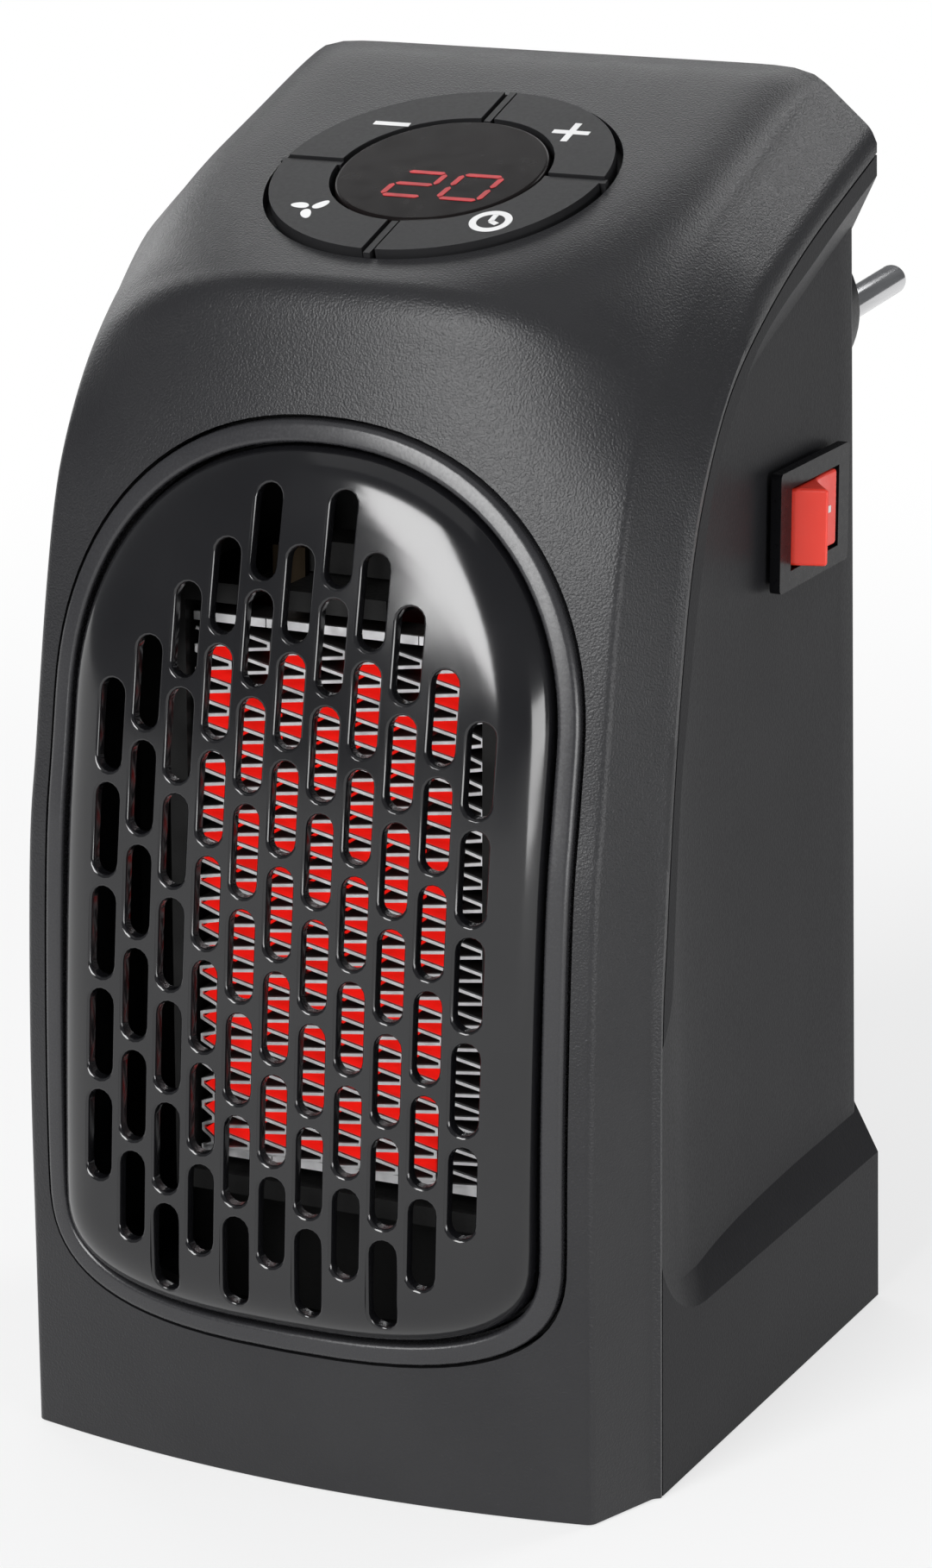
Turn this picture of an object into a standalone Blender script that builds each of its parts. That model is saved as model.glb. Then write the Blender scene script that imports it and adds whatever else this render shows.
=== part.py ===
"""Small plug-in fan heater: a moulded two-part housing with a domed, slotted outlet grille, a round
control panel on the sloping top, a rocker switch on the right side and a swivelling mains plug at the rear.

Frame: metres, +Z up, the front faces -Y, +X is on the viewer's right when the front is seen.
The origin is the centre of the footprint, on the surface that the heater stands on.
"""

import math

import bmesh
import bpy
import numpy as np
from mathutils import Matrix, Vector
from mathutils.bvhtree import BVHTree

# Overall sizes
BODY_WIDTH = 0.087
BODY_DEPTH = 0.0919
BODY_HEIGHT = 0.170
WALL = 0.002
FIT_GAP = 0.0003
OVERRUN = 0.004
MERGE_DISTANCE = 0.000002

# Housing outlines: (share of the depth from the front, share of the height), bottom to top
CENTRE_SHARES = (
    (0.0, 0.0), (-0.013, 0.129), (-0.018, 0.253), (-0.007, 0.388), (0.017, 0.524), (0.052, 0.635),
    (0.100, 0.747), (0.124, 0.800), (0.148, 0.852), (0.160, 0.871), (0.181, 0.882), (0.215, 0.887),
    (0.383, 0.917), (0.601, 0.957), (0.800, 0.993), (0.880, 1.0),
)
CREASE_SHARES = (
    (0.049, 0.0), (0.045, 0.129), (0.041, 0.294), (0.052, 0.453), (0.074, 0.529), (0.110, 0.644),
    (0.143, 0.718), (0.188, 0.771), (0.251, 0.818), (0.343, 0.861), (0.490, 0.908), (0.703, 0.952),
    (0.880, 0.988),
)
EDGE_SHARES = (
    (0.164, 0.0), (0.147, 0.359), (0.161, 0.524), (0.196, 0.633), (0.224, 0.692), (0.263, 0.749),
    (0.333, 0.798), (0.453, 0.862), (0.536, 0.886), (0.690, 0.919), (0.880, 0.956),
)
SEAM_SHARES = (
    (0.176, 0.0), (0.160, 0.329), (0.171, 0.435), (0.187, 0.524), (0.208, 0.606), (0.240, 0.688),
    (0.286, 0.747), (0.359, 0.802), (0.466, 0.844), (0.629, 0.888), (0.880, 0.938),
)
# Half widths of the crease and the edge along their length, as shares of half the body width
CREASE_WIDTH_SHARES = ((0.0, 0.899), (0.35, 0.893), (0.6, 0.886), (0.75, 0.868), (1.0, 0.842))
EDGE_WIDTH_SHARE = 0.982
# The part of the way from the seam to the edge on which the side stays flat
SEAM_FLAT_SHARE = 0.4
# How square the front and top are across their width, along their length
CROWN_POWER_SHARES = (
    (0.0, 2.0), (0.60, 2.0), (0.66, 2.3), (0.70, 3.2), (0.74, 5.5), (0.79, 9.0), (0.85, 13.0), (1.0, 16.0),
)
CREASE_RADIUS = 0.0022
EDGE_RADIUS = 0.0014
# The most that a rounded corner takes from each of the two sides that meet there
CORNER_REACH_SHARE = 0.45
REAR_LEAN = 0.0664
ROW_SHARES = (
    0.0, 0.10, 0.20, 0.30, 0.39, 0.47, 0.54, 0.59, 0.625, 0.655, 0.68, 0.70, 0.725, 0.76, 0.81, 0.87,
    0.93, 1.0,
)
COLUMN_SHARES = (0.90, 0.79, 0.62, 0.36)

# Side recess of the rear shell
RECESS_DEPTH = 0.0029
PANEL_HALF_WIDTH = BODY_WIDTH / 2 - RECESS_DEPTH
PANEL_PLAN_SHARES = ((0.165, 1.0), (0.25, 0.70), (0.34, 0.38), (0.49, 0.15), (0.71, 0.03), (0.96, 0.0))
HOOD_SHARES = (
    (0.150, 0.340), (0.184, 0.353), (0.210, 0.518), (0.230, 0.579), (0.257, 0.651), (0.297, 0.722),
    (0.337, 0.767), (0.378, 0.788), (0.479, 0.835), (0.631, 0.869), (0.800, 0.904), (1.02, 0.945),
)
REBATE_LAND = 0.0011
REBATE_DEPTH = 0.0012
RECESS_FLOOR = 0.0214
RECESS_CORNER = 0.016
RECESS_SLOPE = 2.0
REAR_CORNER_RADIUS = 0.0018

# Outlet opening, trim ring and grille plate
OPENING_SIDE_MARGIN = 0.0073
OPENING_HALF_WIDTH = BODY_WIDTH / 2 - OPENING_SIDE_MARGIN
OPENING_LOW_CENTRE = 0.036
OPENING_HIGH_CENTRE_DROP = 0.073
OPENING_HIGH_CENTRE = BODY_HEIGHT - OPENING_HIGH_CENTRE_DROP
OPENING_LOW_REACH = 0.018
OPENING_HIGH_REACH = 0.0373
OPENING_LOW_POWER = 3.1
OPENING_HIGH_POWER = 2.15
RING_WIDTH = 0.0027
RING_GROOVE = 0.0005
RING_PROUD = 0.0008
RING_ROUNDING = 0.0007
FLANGE_OVERLAP = 0.001
GRILLE_WALL = 0.0016
GRILLE_RIM_DROP = 0.0006
GRILLE_FILLET = 0.0072
GRILLE_CROWN = 0.0024
DOME_RING_SHARES = (0.0, 0.08, 0.35, 1.0)
GRILLE_PROFILE_SHARES = (
    (-0.063, 0.09), (-0.063, 0.135), (-0.052, 0.257), (-0.032, 0.409), (-0.008, 0.524), (0.025, 0.635),
    (0.069, 0.747), (0.090, 0.800),
)
OPENING_LOW_END = OPENING_LOW_CENTRE - OPENING_LOW_REACH
OPENING_HEIGHT = OPENING_HIGH_CENTRE + OPENING_HIGH_REACH - OPENING_LOW_END
# The slots share out the opening's half width and its height
SLOT_PITCH_X_SHARE = 0.13812
SLOT_PITCH_Z_SHARE = 0.11144
SLOT_FIRST_ROW_SHARE = 0.22055
SLOT_LENGTH_SHARE = 0.88
SLOT_WIDTH_SHARE = 0.7
SLOT_STAGGER_SHARE = -0.546
SLOT_PITCH_X = OPENING_HALF_WIDTH * SLOT_PITCH_X_SHARE
SLOT_PITCH_Z = OPENING_HEIGHT * SLOT_PITCH_Z_SHARE
SLOT_FIRST_ROW = OPENING_LOW_END + OPENING_HEIGHT * SLOT_FIRST_ROW_SHARE
SLOT_LENGTH = SLOT_PITCH_Z * SLOT_LENGTH_SHARE
SLOT_WIDTH = SLOT_PITCH_X * SLOT_WIDTH_SHARE
# First and last row of each column, from the centre column outwards
SLOT_ROWS = ((0, 6), (-1, 6), (0, 6), (-1, 5), (0, 5), (0, 4))

# Heating element and its frame
ELEMENT_WIDTH = 0.040
ELEMENT_DEPTH = 0.014
# Room that the body's height leaves above and below the element, and how low the element sits in it
ELEMENT_ROOM = 0.096
ELEMENT_BELOW_MIDDLE = 0.013
ELEMENT_HEIGHT = BODY_HEIGHT - ELEMENT_ROOM
ELEMENT_CENTRE_Z = BODY_HEIGHT / 2 - ELEMENT_BELOW_MIDDLE
ELEMENT_BEHIND_GRILLE = 0.0168
FIN_PITCH = 0.0048
FIN_THICKNESS = 0.00024
FIN_BEND = 0.00045
PTC_BAR_X = 0.010
PTC_BAR_WIDTH = 0.0022
TERMINAL_WIDTH = 0.0045
TERMINAL_THICKNESS = 0.0008
TERMINAL_LENGTH = 0.006
FRAME_WALL = 0.0025
FRAME_LIP = 0.0015

# Bulkhead and fan
BULKHEAD_SETBACK = 0.03245
BULKHEAD_Y = BULKHEAD_SETBACK - BODY_DEPTH / 2
BULKHEAD_THICKNESS = 0.0025
BULKHEAD_TOP_DROP = 0.042
BULKHEAD_TOP = BODY_HEIGHT - BULKHEAD_TOP_DROP
FAN_ROOM = 0.025
FAN_SIZE = BODY_HEIGHT / 2 - FAN_ROOM
FAN_DEPTH = 0.015
FAN_FRAME_WALL = 0.0018
FAN_TIP_GAP = 0.0014
FAN_BORE_RADIUS = FAN_SIZE / 2 - FAN_FRAME_WALL
FAN_TIP_RADIUS = FAN_BORE_RADIUS - FAN_TIP_GAP
FAN_HUB_RADIUS = 0.012
FAN_HUB_WALL = 0.0014
FAN_HUB_LENGTH = 0.0105
FAN_BLADES = 7
FAN_BLADE_CHORD = 0.0115
FAN_BLADE_THICKNESS = 0.0012
FAN_BLADE_ANGLE = math.radians(38)
# Blade pitch and chord as shares of the named ones, at the hub and at the tip
FAN_PITCH_SHARES = (1.25, 0.85)
FAN_CHORD_SHARES = (0.72, 1.0)
FAN_SHAFT_RADIUS = 0.0015
FAN_SPIDER_WIDTH = 0.004
FAN_SPIDER_DEPTH = 0.0025
STATOR_RADIUS = 0.0092
STATOR_LENGTH = 0.0075

# Power board
BOARD_THICKNESS = 0.0016
POWER_BOARD_WIDTH = 0.052
POWER_BOARD_ABOVE_FAN = 0.004
POWER_BOARD_MARGIN = 0.0031
POWER_BOARD_HEIGHT = BULKHEAD_TOP - ELEMENT_CENTRE_Z - FAN_SIZE / 2 - POWER_BOARD_ABOVE_FAN
POWER_BOARD_X = POWER_BOARD_WIDTH / 2 + POWER_BOARD_MARGIN + WALL - PANEL_HALF_WIDTH
RELAY_SIZE = (0.019, 0.015, 0.0155)
CAPACITOR_RADIUS = 0.005
CAPACITOR_LENGTH = 0.012
CUTOUT_SIZE = (0.016, 0.007, 0.004)

# Control panel on the sloping top
CONTROL_RADIUS = 0.0224
BROW_DEPTH_SHARE = 0.215
CONTROL_BEHIND_BROW = 0.00177
CONTROL_Y = CONTROL_BEHIND_BROW + CONTROL_RADIUS - (0.5 - BROW_DEPTH_SHARE) * BODY_DEPTH
DISPLAY_RADIUS = 0.0131
COLLAR_WIDTH = 0.0008
DIVIDER_WIDTH = 0.0012
KEY_GROOVE = 0.0006
KEY_PROUD = 0.0009
KEY_THICKNESS = 0.0021
KEY_TRAVEL = 0.0006
KEY_STEM_RADIUS = 0.0015
BEZEL_FLANGE = 0.0012
BEZEL_REACH = 0.0022
DISPLAY_THICKNESS = 0.0015
CONTROL_BOARD_DROP = 0.0095
CONTROL_BOARD_RADIUS = 0.0235
TACT_SIZE = (0.006, 0.006, 0.0030)
TACT_BUTTON_RADIUS = 0.0017
DISPLAY_MODULE_SIZE = (0.0165, 0.011, 0.0040)
BOARD_POST_RADIUS = 0.0018

# Rocker switch on the right side
SWITCH_FROM_REAR = 0.02795
SWITCH_Y = BODY_DEPTH / 2 - SWITCH_FROM_REAR
SWITCH_DROP = 0.0547
SWITCH_Z = BODY_HEIGHT - SWITCH_DROP
SWITCH_LENGTH = 0.0235
SWITCH_HEIGHT = 0.0154
SWITCH_PROUD = 0.0022
SWITCH_END_RIM = 0.0022
SWITCH_SIDE_RIM = 0.001
SWITCH_BODY_DEPTH = 0.0135
SWITCH_BODY_WALL = 0.0014
ROCKER_TILT = math.radians(17)
ROCKER_PIVOT_OUT = 0.0004
ROCKER_END_RISE = 0.00395
ROCKER_MIDDLE_RISE = 0.0019
ROCKER_KEEL = 0.0062
SPADE_SIZE = (0.007, 0.0008, 0.0048)

# Swivelling mains plug at the rear
PLUG_FROM_SIDE = 0.0173
PLUG_X = BODY_WIDTH / 2 - PLUG_FROM_SIDE
PLUG_DROP = 0.0334
PLUG_Z = BODY_HEIGHT - PLUG_DROP
PLUG_RADIUS = 0.0119
PLUG_PROUD = 0.008
PLUG_FACE_RADIUS = 0.0117
PLUG_HUB_RADIUS = 0.0075
PLUG_HUB_LENGTH = 0.005
PLUG_RETAINER_RADIUS = 0.010
PLUG_RETAINER_THICKNESS = 0.0015
PIN_RADIUS = 0.002
PIN_LENGTH = 0.019
PIN_SPACING = 0.019
PIN_TIP_ROUNDING = 0.0012

# Case screws, intake slots
SCREW_FROM_SIDE = 0.010
SCREW_X = BODY_WIDTH / 2 - SCREW_FROM_SIDE
SCREW_LOW_Z = 0.0125
SCREW_HIGH_FROM_SIDE = 0.0235
SCREW_HIGH_X = SCREW_HIGH_FROM_SIDE - BODY_WIDTH / 2
SCREW_HIGH_DROP = 0.0345
SCREW_HIGH_Z = BODY_HEIGHT - SCREW_HIGH_DROP
SCREW_RADIUS = 0.0013
SCREW_HEAD_RADIUS = 0.0026
SCREW_HEAD_HEIGHT = 0.0018
SCREW_LENGTH = 0.009
POST_RADIUS = 0.0037
FRONT_POST_RADIUS = 0.0032
POST_AHEAD_OF_BULKHEAD = 0.003
POST_JOINT_Y = BULKHEAD_Y - POST_AHEAD_OF_BULKHEAD
HIGH_POST_BEHIND_BULKHEAD = 0.020
HIGH_POST_JOINT_Y = BULKHEAD_Y + HIGH_POST_BEHIND_BULKHEAD
INTAKE_SLOT_WIDTH = 0.0026
INTAKE_SLOT_PITCH = 0.0055
INTAKE_HALF_WIDTH = 0.024
INTAKE_HALF_HEIGHT = 0.032

FACING_FRONT = Matrix.Rotation(math.pi / 2, 4, "X")
FACING_SIDE = Matrix(((0, 0, 1, 0), (1, 0, 0, 0), (0, 1, 0, 0), (0, 0, 0, 1)))


def clear_scene():
    for obj in list(bpy.data.objects):
        bpy.data.objects.remove(obj)


def new_collection(name):
    collection = bpy.data.collections.new(name)
    bpy.context.scene.collection.children.link(collection)
    return collection


def material(name, colour, roughness, metallic=0.0):
    made = bpy.data.materials.new(name)
    made.use_nodes = True
    shader = made.node_tree.nodes["Principled BSDF"]
    shader.inputs["Base Color"].default_value = (*colour, 1.0)
    shader.inputs["Roughness"].default_value = roughness
    shader.inputs["Metallic"].default_value = metallic
    return made


# Shape helpers


def add_mesh(name, mesh, finish=None, origin=None):
    """A new object in the heater's collection, or among the cutters where it has no material."""
    obj = bpy.data.objects.new(name, mesh)
    if finish is None:
        cutters.objects.link(obj)
        obj.hide_render = True
        obj.display_type = "WIRE"
        return obj
    heater.objects.link(obj)
    mesh.materials.append(finish)
    mesh.shade_smooth()
    mesh.set_sharp_from_angle(angle=math.radians(32))
    if origin is not None:
        mesh.transform(Matrix.Translation(-Vector(origin)))
        obj.location = origin
    return obj


def mesh_from(name, geometry):
    mesh = bpy.data.meshes.new(name)
    geometry.to_mesh(mesh)
    geometry.free()
    return mesh


def box_mesh(name, size, centre, turn=Matrix()):
    geometry = bmesh.new()
    bmesh.ops.create_cube(geometry, size=1)
    place = turn @ Matrix.Translation(centre) @ Matrix.Diagonal((*size, 1))
    bmesh.ops.transform(geometry, matrix=place, verts=geometry.verts)
    return mesh_from(name, geometry)


def cylinder_mesh(name, radius, low, high, turn=Matrix(), end_radius=None, segments=32):
    """A cylinder or cone from low to high along the local Z axis."""
    geometry = bmesh.new()
    top = radius if end_radius is None else end_radius
    bmesh.ops.create_cone(
        geometry, cap_ends=True, segments=segments, radius1=radius, radius2=top, depth=high - low
    )
    place = turn @ Matrix.Translation((0, 0, (low + high) / 2))
    bmesh.ops.transform(geometry, matrix=place, verts=geometry.verts)
    return mesh_from(name, geometry)


def loft_mesh(name, rings, closed=False):
    """Skins rings of equal counts. An open loft is capped, a closed one joins its last ring to its first."""
    geometry = bmesh.new()
    levels = [[geometry.verts.new(point) for point in ring] for ring in rings]
    count = len(levels[0])
    pairs = list(zip(levels, levels[1:]))
    if closed:
        pairs.append((levels[-1], levels[0]))
    for lower, upper in pairs:
        for i in range(count):
            j = (i + 1) % count
            geometry.faces.new((lower[i], lower[j], upper[j], upper[i]))
    if not closed:
        geometry.faces.new(levels[0])
        geometry.faces.new(levels[-1])
    bmesh.ops.recalc_face_normals(geometry, faces=geometry.faces)
    return mesh_from(name, geometry)


def outline_mesh(name, loops, low, high, turn=Matrix()):
    """A flat outline, with any holes as further loops, extruded from low to high along the local Z axis."""
    curve = bpy.data.curves.new(name, "CURVE")
    curve.dimensions = "2D"
    curve.fill_mode = "BOTH"
    curve.extrude = (high - low) / 2
    for loop in loops:
        spline = curve.splines.new("POLY")
        spline.points.add(len(loop) - 1)
        for point, (x, y) in zip(spline.points, loop):
            point.co = (x, y, 0, 1)
        spline.use_cyclic_u = True
    source = bpy.data.objects.new(name, curve)
    bpy.context.scene.collection.objects.link(source)
    graph = bpy.context.evaluated_depsgraph_get()
    geometry = bmesh.new()
    geometry.from_mesh(bpy.data.meshes.new_from_object(source.evaluated_get(graph)))
    bpy.data.objects.remove(source)
    bmesh.ops.remove_doubles(geometry, verts=geometry.verts, dist=MERGE_DISTANCE)
    place = turn @ Matrix.Translation((0, 0, (low + high) / 2))
    bmesh.ops.transform(geometry, matrix=place, verts=geometry.verts)
    bmesh.ops.recalc_face_normals(geometry, faces=geometry.faces)
    return mesh_from(name, geometry)


def sleeve_mesh(name, outer, inner, low, high, turn=Matrix()):
    """A tube between two outlines with as many points, from low to high along the local Z axis."""
    rings = []
    for outline, height in ((outer, low), (outer, high), (inner, high), (inner, low)):
        rings.append([(x, y, height) for x, y in outline])
    mesh = loft_mesh(name, rings, closed=True)
    mesh.transform(turn)
    return mesh


def turned_mesh(name, profile, turn=Matrix(), steps=24):
    """A closed solid turned about the local Z axis from (radius, height) points that start and end on it."""
    rings = []
    for radius, height in profile[1:-1]:
        angles = [2 * math.pi * i / steps for i in range(steps)]
        rings.append([(radius * math.cos(a), radius * math.sin(a), height) for a in angles])
    mesh = loft_mesh(name, rings)
    mesh.transform(turn)
    return mesh


def boolean(target, mesh, operation):
    tool = add_mesh(f"{target.name}_{mesh.name}", mesh)
    modifier = target.modifiers.new(mesh.name, "BOOLEAN")
    modifier.operation = operation
    modifier.solver = "EXACT"
    modifier.object = tool
    return modifier


def cut(target, mesh):
    boolean(target, mesh, "DIFFERENCE")


def join(target, mesh):
    boolean(target, mesh, "UNION")


def merged_mesh(name, meshes):
    """Separate closed bodies gathered in one mesh, for one Boolean."""
    geometry = bmesh.new()
    for mesh in meshes:
        geometry.from_mesh(mesh)
        bpy.data.meshes.remove(mesh)
    return mesh_from(name, geometry)


def rectangle(width, height, centre=(0, 0), radius=0.0, steps=3):
    """A rectangle's points, counter-clockwise, with rounded corners where a radius is given."""
    points = []
    for quarter, (sx, sy) in enumerate(((1, 1), (-1, 1), (-1, -1), (1, -1))):
        corner = Vector((sx * (width / 2 - radius), sy * (height / 2 - radius)))
        if not radius:
            points.append(corner + Vector(centre))
            continue
        for i in range(steps + 1):
            angle = (quarter + i / steps) * math.pi / 2
            points.append(corner + radius * Vector((math.cos(angle), math.sin(angle))) + Vector(centre))
    return points


def slot_outline(width, height, centre, steps=3):
    """A slot's points with half-round ends on its longer sides."""
    radius = min(width, height) / 2
    across = max(width - height, 0) / 2
    along = max(height - width, 0) / 2
    points = []
    for end in (1, -1):
        for i in range(steps + 1):
            angle = i / steps * math.pi - (math.pi / 2 if across else 0)
            arc = radius * Vector((math.cos(angle), math.sin(angle)))
            points.append(Vector(centre) + end * (arc + Vector((across, along))))
    return points


def circle(radius, centre=(0, 0), steps=24):
    angles = [2 * math.pi * i / steps for i in range(steps)]
    return [Vector((centre[0] + radius * math.cos(a), centre[1] + radius * math.sin(a))) for a in angles]


# Curves of the housing


def smooth_curve(points, steps=8):
    """A Catmull-Rom curve through the points."""
    points = [np.array(point, float) for point in points]
    points = [2 * points[0] - points[1], *points, 2 * points[-1] - points[-2]]
    curve = [points[1]]
    for a, b, c, d in zip(points, points[1:], points[2:], points[3:]):
        for i in range(1, steps + 1):
            t = i / steps
            curve.append(
                b
                + (c - a) * t / 2
                + (2 * a - 5 * b + 4 * c - d) * t**2 / 2
                + (3 * b - a - 3 * c + d) * t**3 / 2
            )
    return np.array(curve)


def at_shares(curve, shares):
    """Points of a curve at shares of its length."""
    lengths = np.concatenate([[0], np.cumsum(np.linalg.norm(np.diff(curve, axis=0), axis=1))])
    places = np.array(shares) * lengths[-1]
    return np.stack([np.interp(places, lengths, curve[:, k]) for k in range(curve.shape[1])], axis=1)


def rear_y(z):
    """The rear face leans forward as it rises."""
    return BODY_DEPTH / 2 - REAR_LEAN * z


def side_points(table):
    """(y, z) places from shares of the depth and the height."""
    return [((depth - 0.5) * BODY_DEPTH, height * BODY_HEIGHT) for depth, height in table]


def side_curve(table):
    """A smooth side profile that ends on the rear face."""
    points = side_points(table)
    y, z = points[-1]
    points[-1] = (rear_y(z), z)
    return smooth_curve(points)


def rounded_corner(before, corner, after, radius, steps):
    """Points of a curve that rounds the corner, within a share of the two sides that meet there."""
    reach = min(radius, CORNER_REACH_SHARE * min((before - corner).length, (after - corner).length))
    start = corner + (before - corner).normalized() * reach
    end = corner + (after - corner).normalized() * reach
    shares = [i / steps for i in range(steps + 1)]
    return [(1 - s) ** 2 * start + 2 * s * (1 - s) * corner + s**2 * end for s in shares]


def front_row(share, seam, edge, crease, centre):
    """One half section of the front shell, from the seam to the middle."""
    half = BODY_WIDTH / 2
    crease_x = half * np.interp(share, *zip(*CREASE_WIDTH_SHARES))
    power = np.interp(share, *zip(*CROWN_POWER_SHARES))
    seam_point = Vector((half, *seam))
    edge_point = Vector((half * EDGE_WIDTH_SHARE, *edge))
    crease_point = Vector((crease_x, *crease))
    middle = Vector((0, *centre))

    def across(width_share):
        rise = 1 - width_share**power
        y, z = (crease_point.lerp(middle, rise))[1:]
        return Vector((crease_x * width_share, y, z))

    inner = across(COLUMN_SHARES[0])
    flat_end = seam_point.lerp(edge_point, SEAM_FLAT_SHARE)
    flat_end.x = half
    row = [seam_point, flat_end]
    row += rounded_corner(flat_end, edge_point, crease_point, EDGE_RADIUS, 1)
    row += rounded_corner(edge_point, crease_point, inner, CREASE_RADIUS, 2)
    row += [across(width_share) for width_share in COLUMN_SHARES]
    return row + [middle]


def front_surface():
    """The outer surface of the front shell: floor strip, front, top and rear lip, as one open sheet."""
    curves = [side_curve(table) for table in (SEAM_SHARES, EDGE_SHARES, CREASE_SHARES, CENTRE_SHARES)]
    places = [at_shares(curve, ROW_SHARES) for curve in curves]
    rows = [front_row(share, *stations) for share, *stations in zip(ROW_SHARES, *places)]
    for point in rows[-1]:
        point.y = rear_y(point.z)
    seam_start, seam_end = rows[0][0], rows[-1][0]
    spread = np.linspace(1, 0, len(rows[0]))
    floor_row = [Vector((seam_start.x * share, seam_start.y, 0)) for share in spread]
    lip_row = [Vector((seam_end.x * share, seam_end.y, seam_end.z)) for share in spread]
    geometry = bmesh.new()
    grid = []
    for row in [floor_row, *rows, lip_row]:
        mirrored = [Vector((-p.x, p.y, p.z)) for p in reversed(row[:-1])]
        grid.append([geometry.verts.new(point) for point in row + mirrored])
    for lower, upper in zip(grid, grid[1:]):
        for i in range(len(lower) - 1):
            geometry.faces.new((lower[i], upper[i], upper[i + 1], lower[i + 1]))
    bmesh.ops.remove_doubles(geometry, verts=geometry.verts, dist=MERGE_DISTANCE)
    return geometry


# Outline of the outlet opening


def opening_side(inset, low_steps=6, side_steps=3, high_steps=8):
    """Right half of the opening's outline, moved inwards, from its lowest to its highest point as (x, z)."""
    width = OPENING_HALF_WIDTH - inset
    points = []
    for i in range(low_steps):
        angle = i / low_steps * math.pi / 2
        x = width * math.sin(angle) ** (2 / OPENING_LOW_POWER)
        z = OPENING_LOW_CENTRE - (OPENING_LOW_REACH - inset) * math.cos(angle) ** (2 / OPENING_LOW_POWER)
        points.append((x, z))
    for i in range(side_steps):
        rise = (OPENING_HIGH_CENTRE - OPENING_LOW_CENTRE) * i / side_steps
        points.append((width, OPENING_LOW_CENTRE + rise))
    for i in range(high_steps + 1):
        angle = i / high_steps * math.pi / 2
        x = width * max(math.cos(angle), 0) ** (2 / OPENING_HIGH_POWER)
        z = OPENING_HIGH_CENTRE + (OPENING_HIGH_REACH - inset) * math.sin(angle) ** (2 / OPENING_HIGH_POWER)
        points.append((x, z))
    points[0] = (0, points[0][1])
    points[-1] = (0, points[-1][1])
    return points


def opening_loop(inset):
    side = opening_side(inset)
    return side + [(-x, z) for x, z in reversed(side[1:-1])]


def surface_y(tree, x, z):
    """Where the front surface lies at (x, z), seen from the front."""
    hit = tree.ray_cast(Vector((x, -BODY_DEPTH, z)), Vector((0, 1, 0)))
    return hit[0].y


# Housing pieces


def make_front_shell(finish):
    surface = front_surface()
    tree = BVHTree.FromBMesh(surface)
    shell = add_mesh("front_shell", mesh_from("front_shell", surface), finish)
    wall = shell.modifiers.new("wall", "SOLIDIFY")
    wall.thickness = WALL
    wall.offset = -1
    wall.use_quality_normals = True
    outlet = opening_loop(0.0)
    join(shell, merged_mesh("posts", front_posts(tree)))
    join(shell, merged_mesh("panel_posts", board_posts()))
    cut(shell, outline_mesh("outlet", [outlet], -rear_y(0) / 2, BODY_DEPTH, FACING_FRONT))
    reach = CONTROL_BOARD_DROP / 2
    cut(shell, cylinder_mesh("panel_hole", CONTROL_RADIUS + FIT_GAP, -reach, reach, PANEL_FRAME, segments=40))
    cut(shell, merged_mesh("pilot_holes", front_pilot_holes()))
    return tree


def post_places():
    """(x, z, y of the joint) of the three case screws: two low, one high beside the plug."""
    yield -SCREW_X, SCREW_LOW_Z, POST_JOINT_Y
    yield SCREW_X, SCREW_LOW_Z, POST_JOINT_Y
    yield SCREW_HIGH_X, SCREW_HIGH_Z, HIGH_POST_JOINT_Y


def along_y(x, z):
    """Local Z runs to the rear from y = 0 at (x, z)."""
    return Matrix.Translation((x, 0, z)) @ Matrix.Rotation(-math.pi / 2, 4, "X")


def front_posts(tree):
    """Screw posts inside the front shell, from the wall over their top edge back to the rear posts."""
    posts = []
    for x, z, joint_y in post_places():
        start = surface_y(tree, x, z + FRONT_POST_RADIUS) + WALL / 2
        posts.append(cylinder_mesh("post", FRONT_POST_RADIUS, start, joint_y, along_y(x, z), segments=16))
    return posts


def front_pilot_holes():
    holes = []
    for x, z, joint_y in post_places():
        start, end = joint_y - SCREW_LENGTH - OVERRUN / 4, joint_y + OVERRUN
        radius = SCREW_RADIUS + FIT_GAP
        holes.append(cylinder_mesh("pilot", radius, start, end, along_y(x, z), segments=12))
    return holes


def offset_path(path, distance):
    """An open path moved sideways, to its right as it is followed."""
    directions = np.gradient(path, axis=0)
    directions /= np.linalg.norm(directions, axis=1)[:, None]
    return path + np.stack([directions[:, 1], -directions[:, 0]], axis=1) * distance


def rear_outline(inset=0.0):
    """Side outline of the rear shell as (y, z), from the front of its floor up the seam and down the rear."""
    seam = at_shares(side_curve(SEAM_SHARES), ROW_SHARES)
    points = [tuple(point) for point in offset_path(seam, FIT_GAP)]
    points[0] = (points[0][0], inset)
    top_y, top_z = points[-1]
    points[-1] = (rear_y(top_z) - inset, top_z)
    points.append((rear_y(inset) - inset, inset))
    return points


def side_prism(name, outline, half_width):
    """A (y, z) outline extruded across the body."""
    return loft_mesh(name, [[(x, y, z) for y, z in outline] for x in (-half_width, half_width)])


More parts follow.
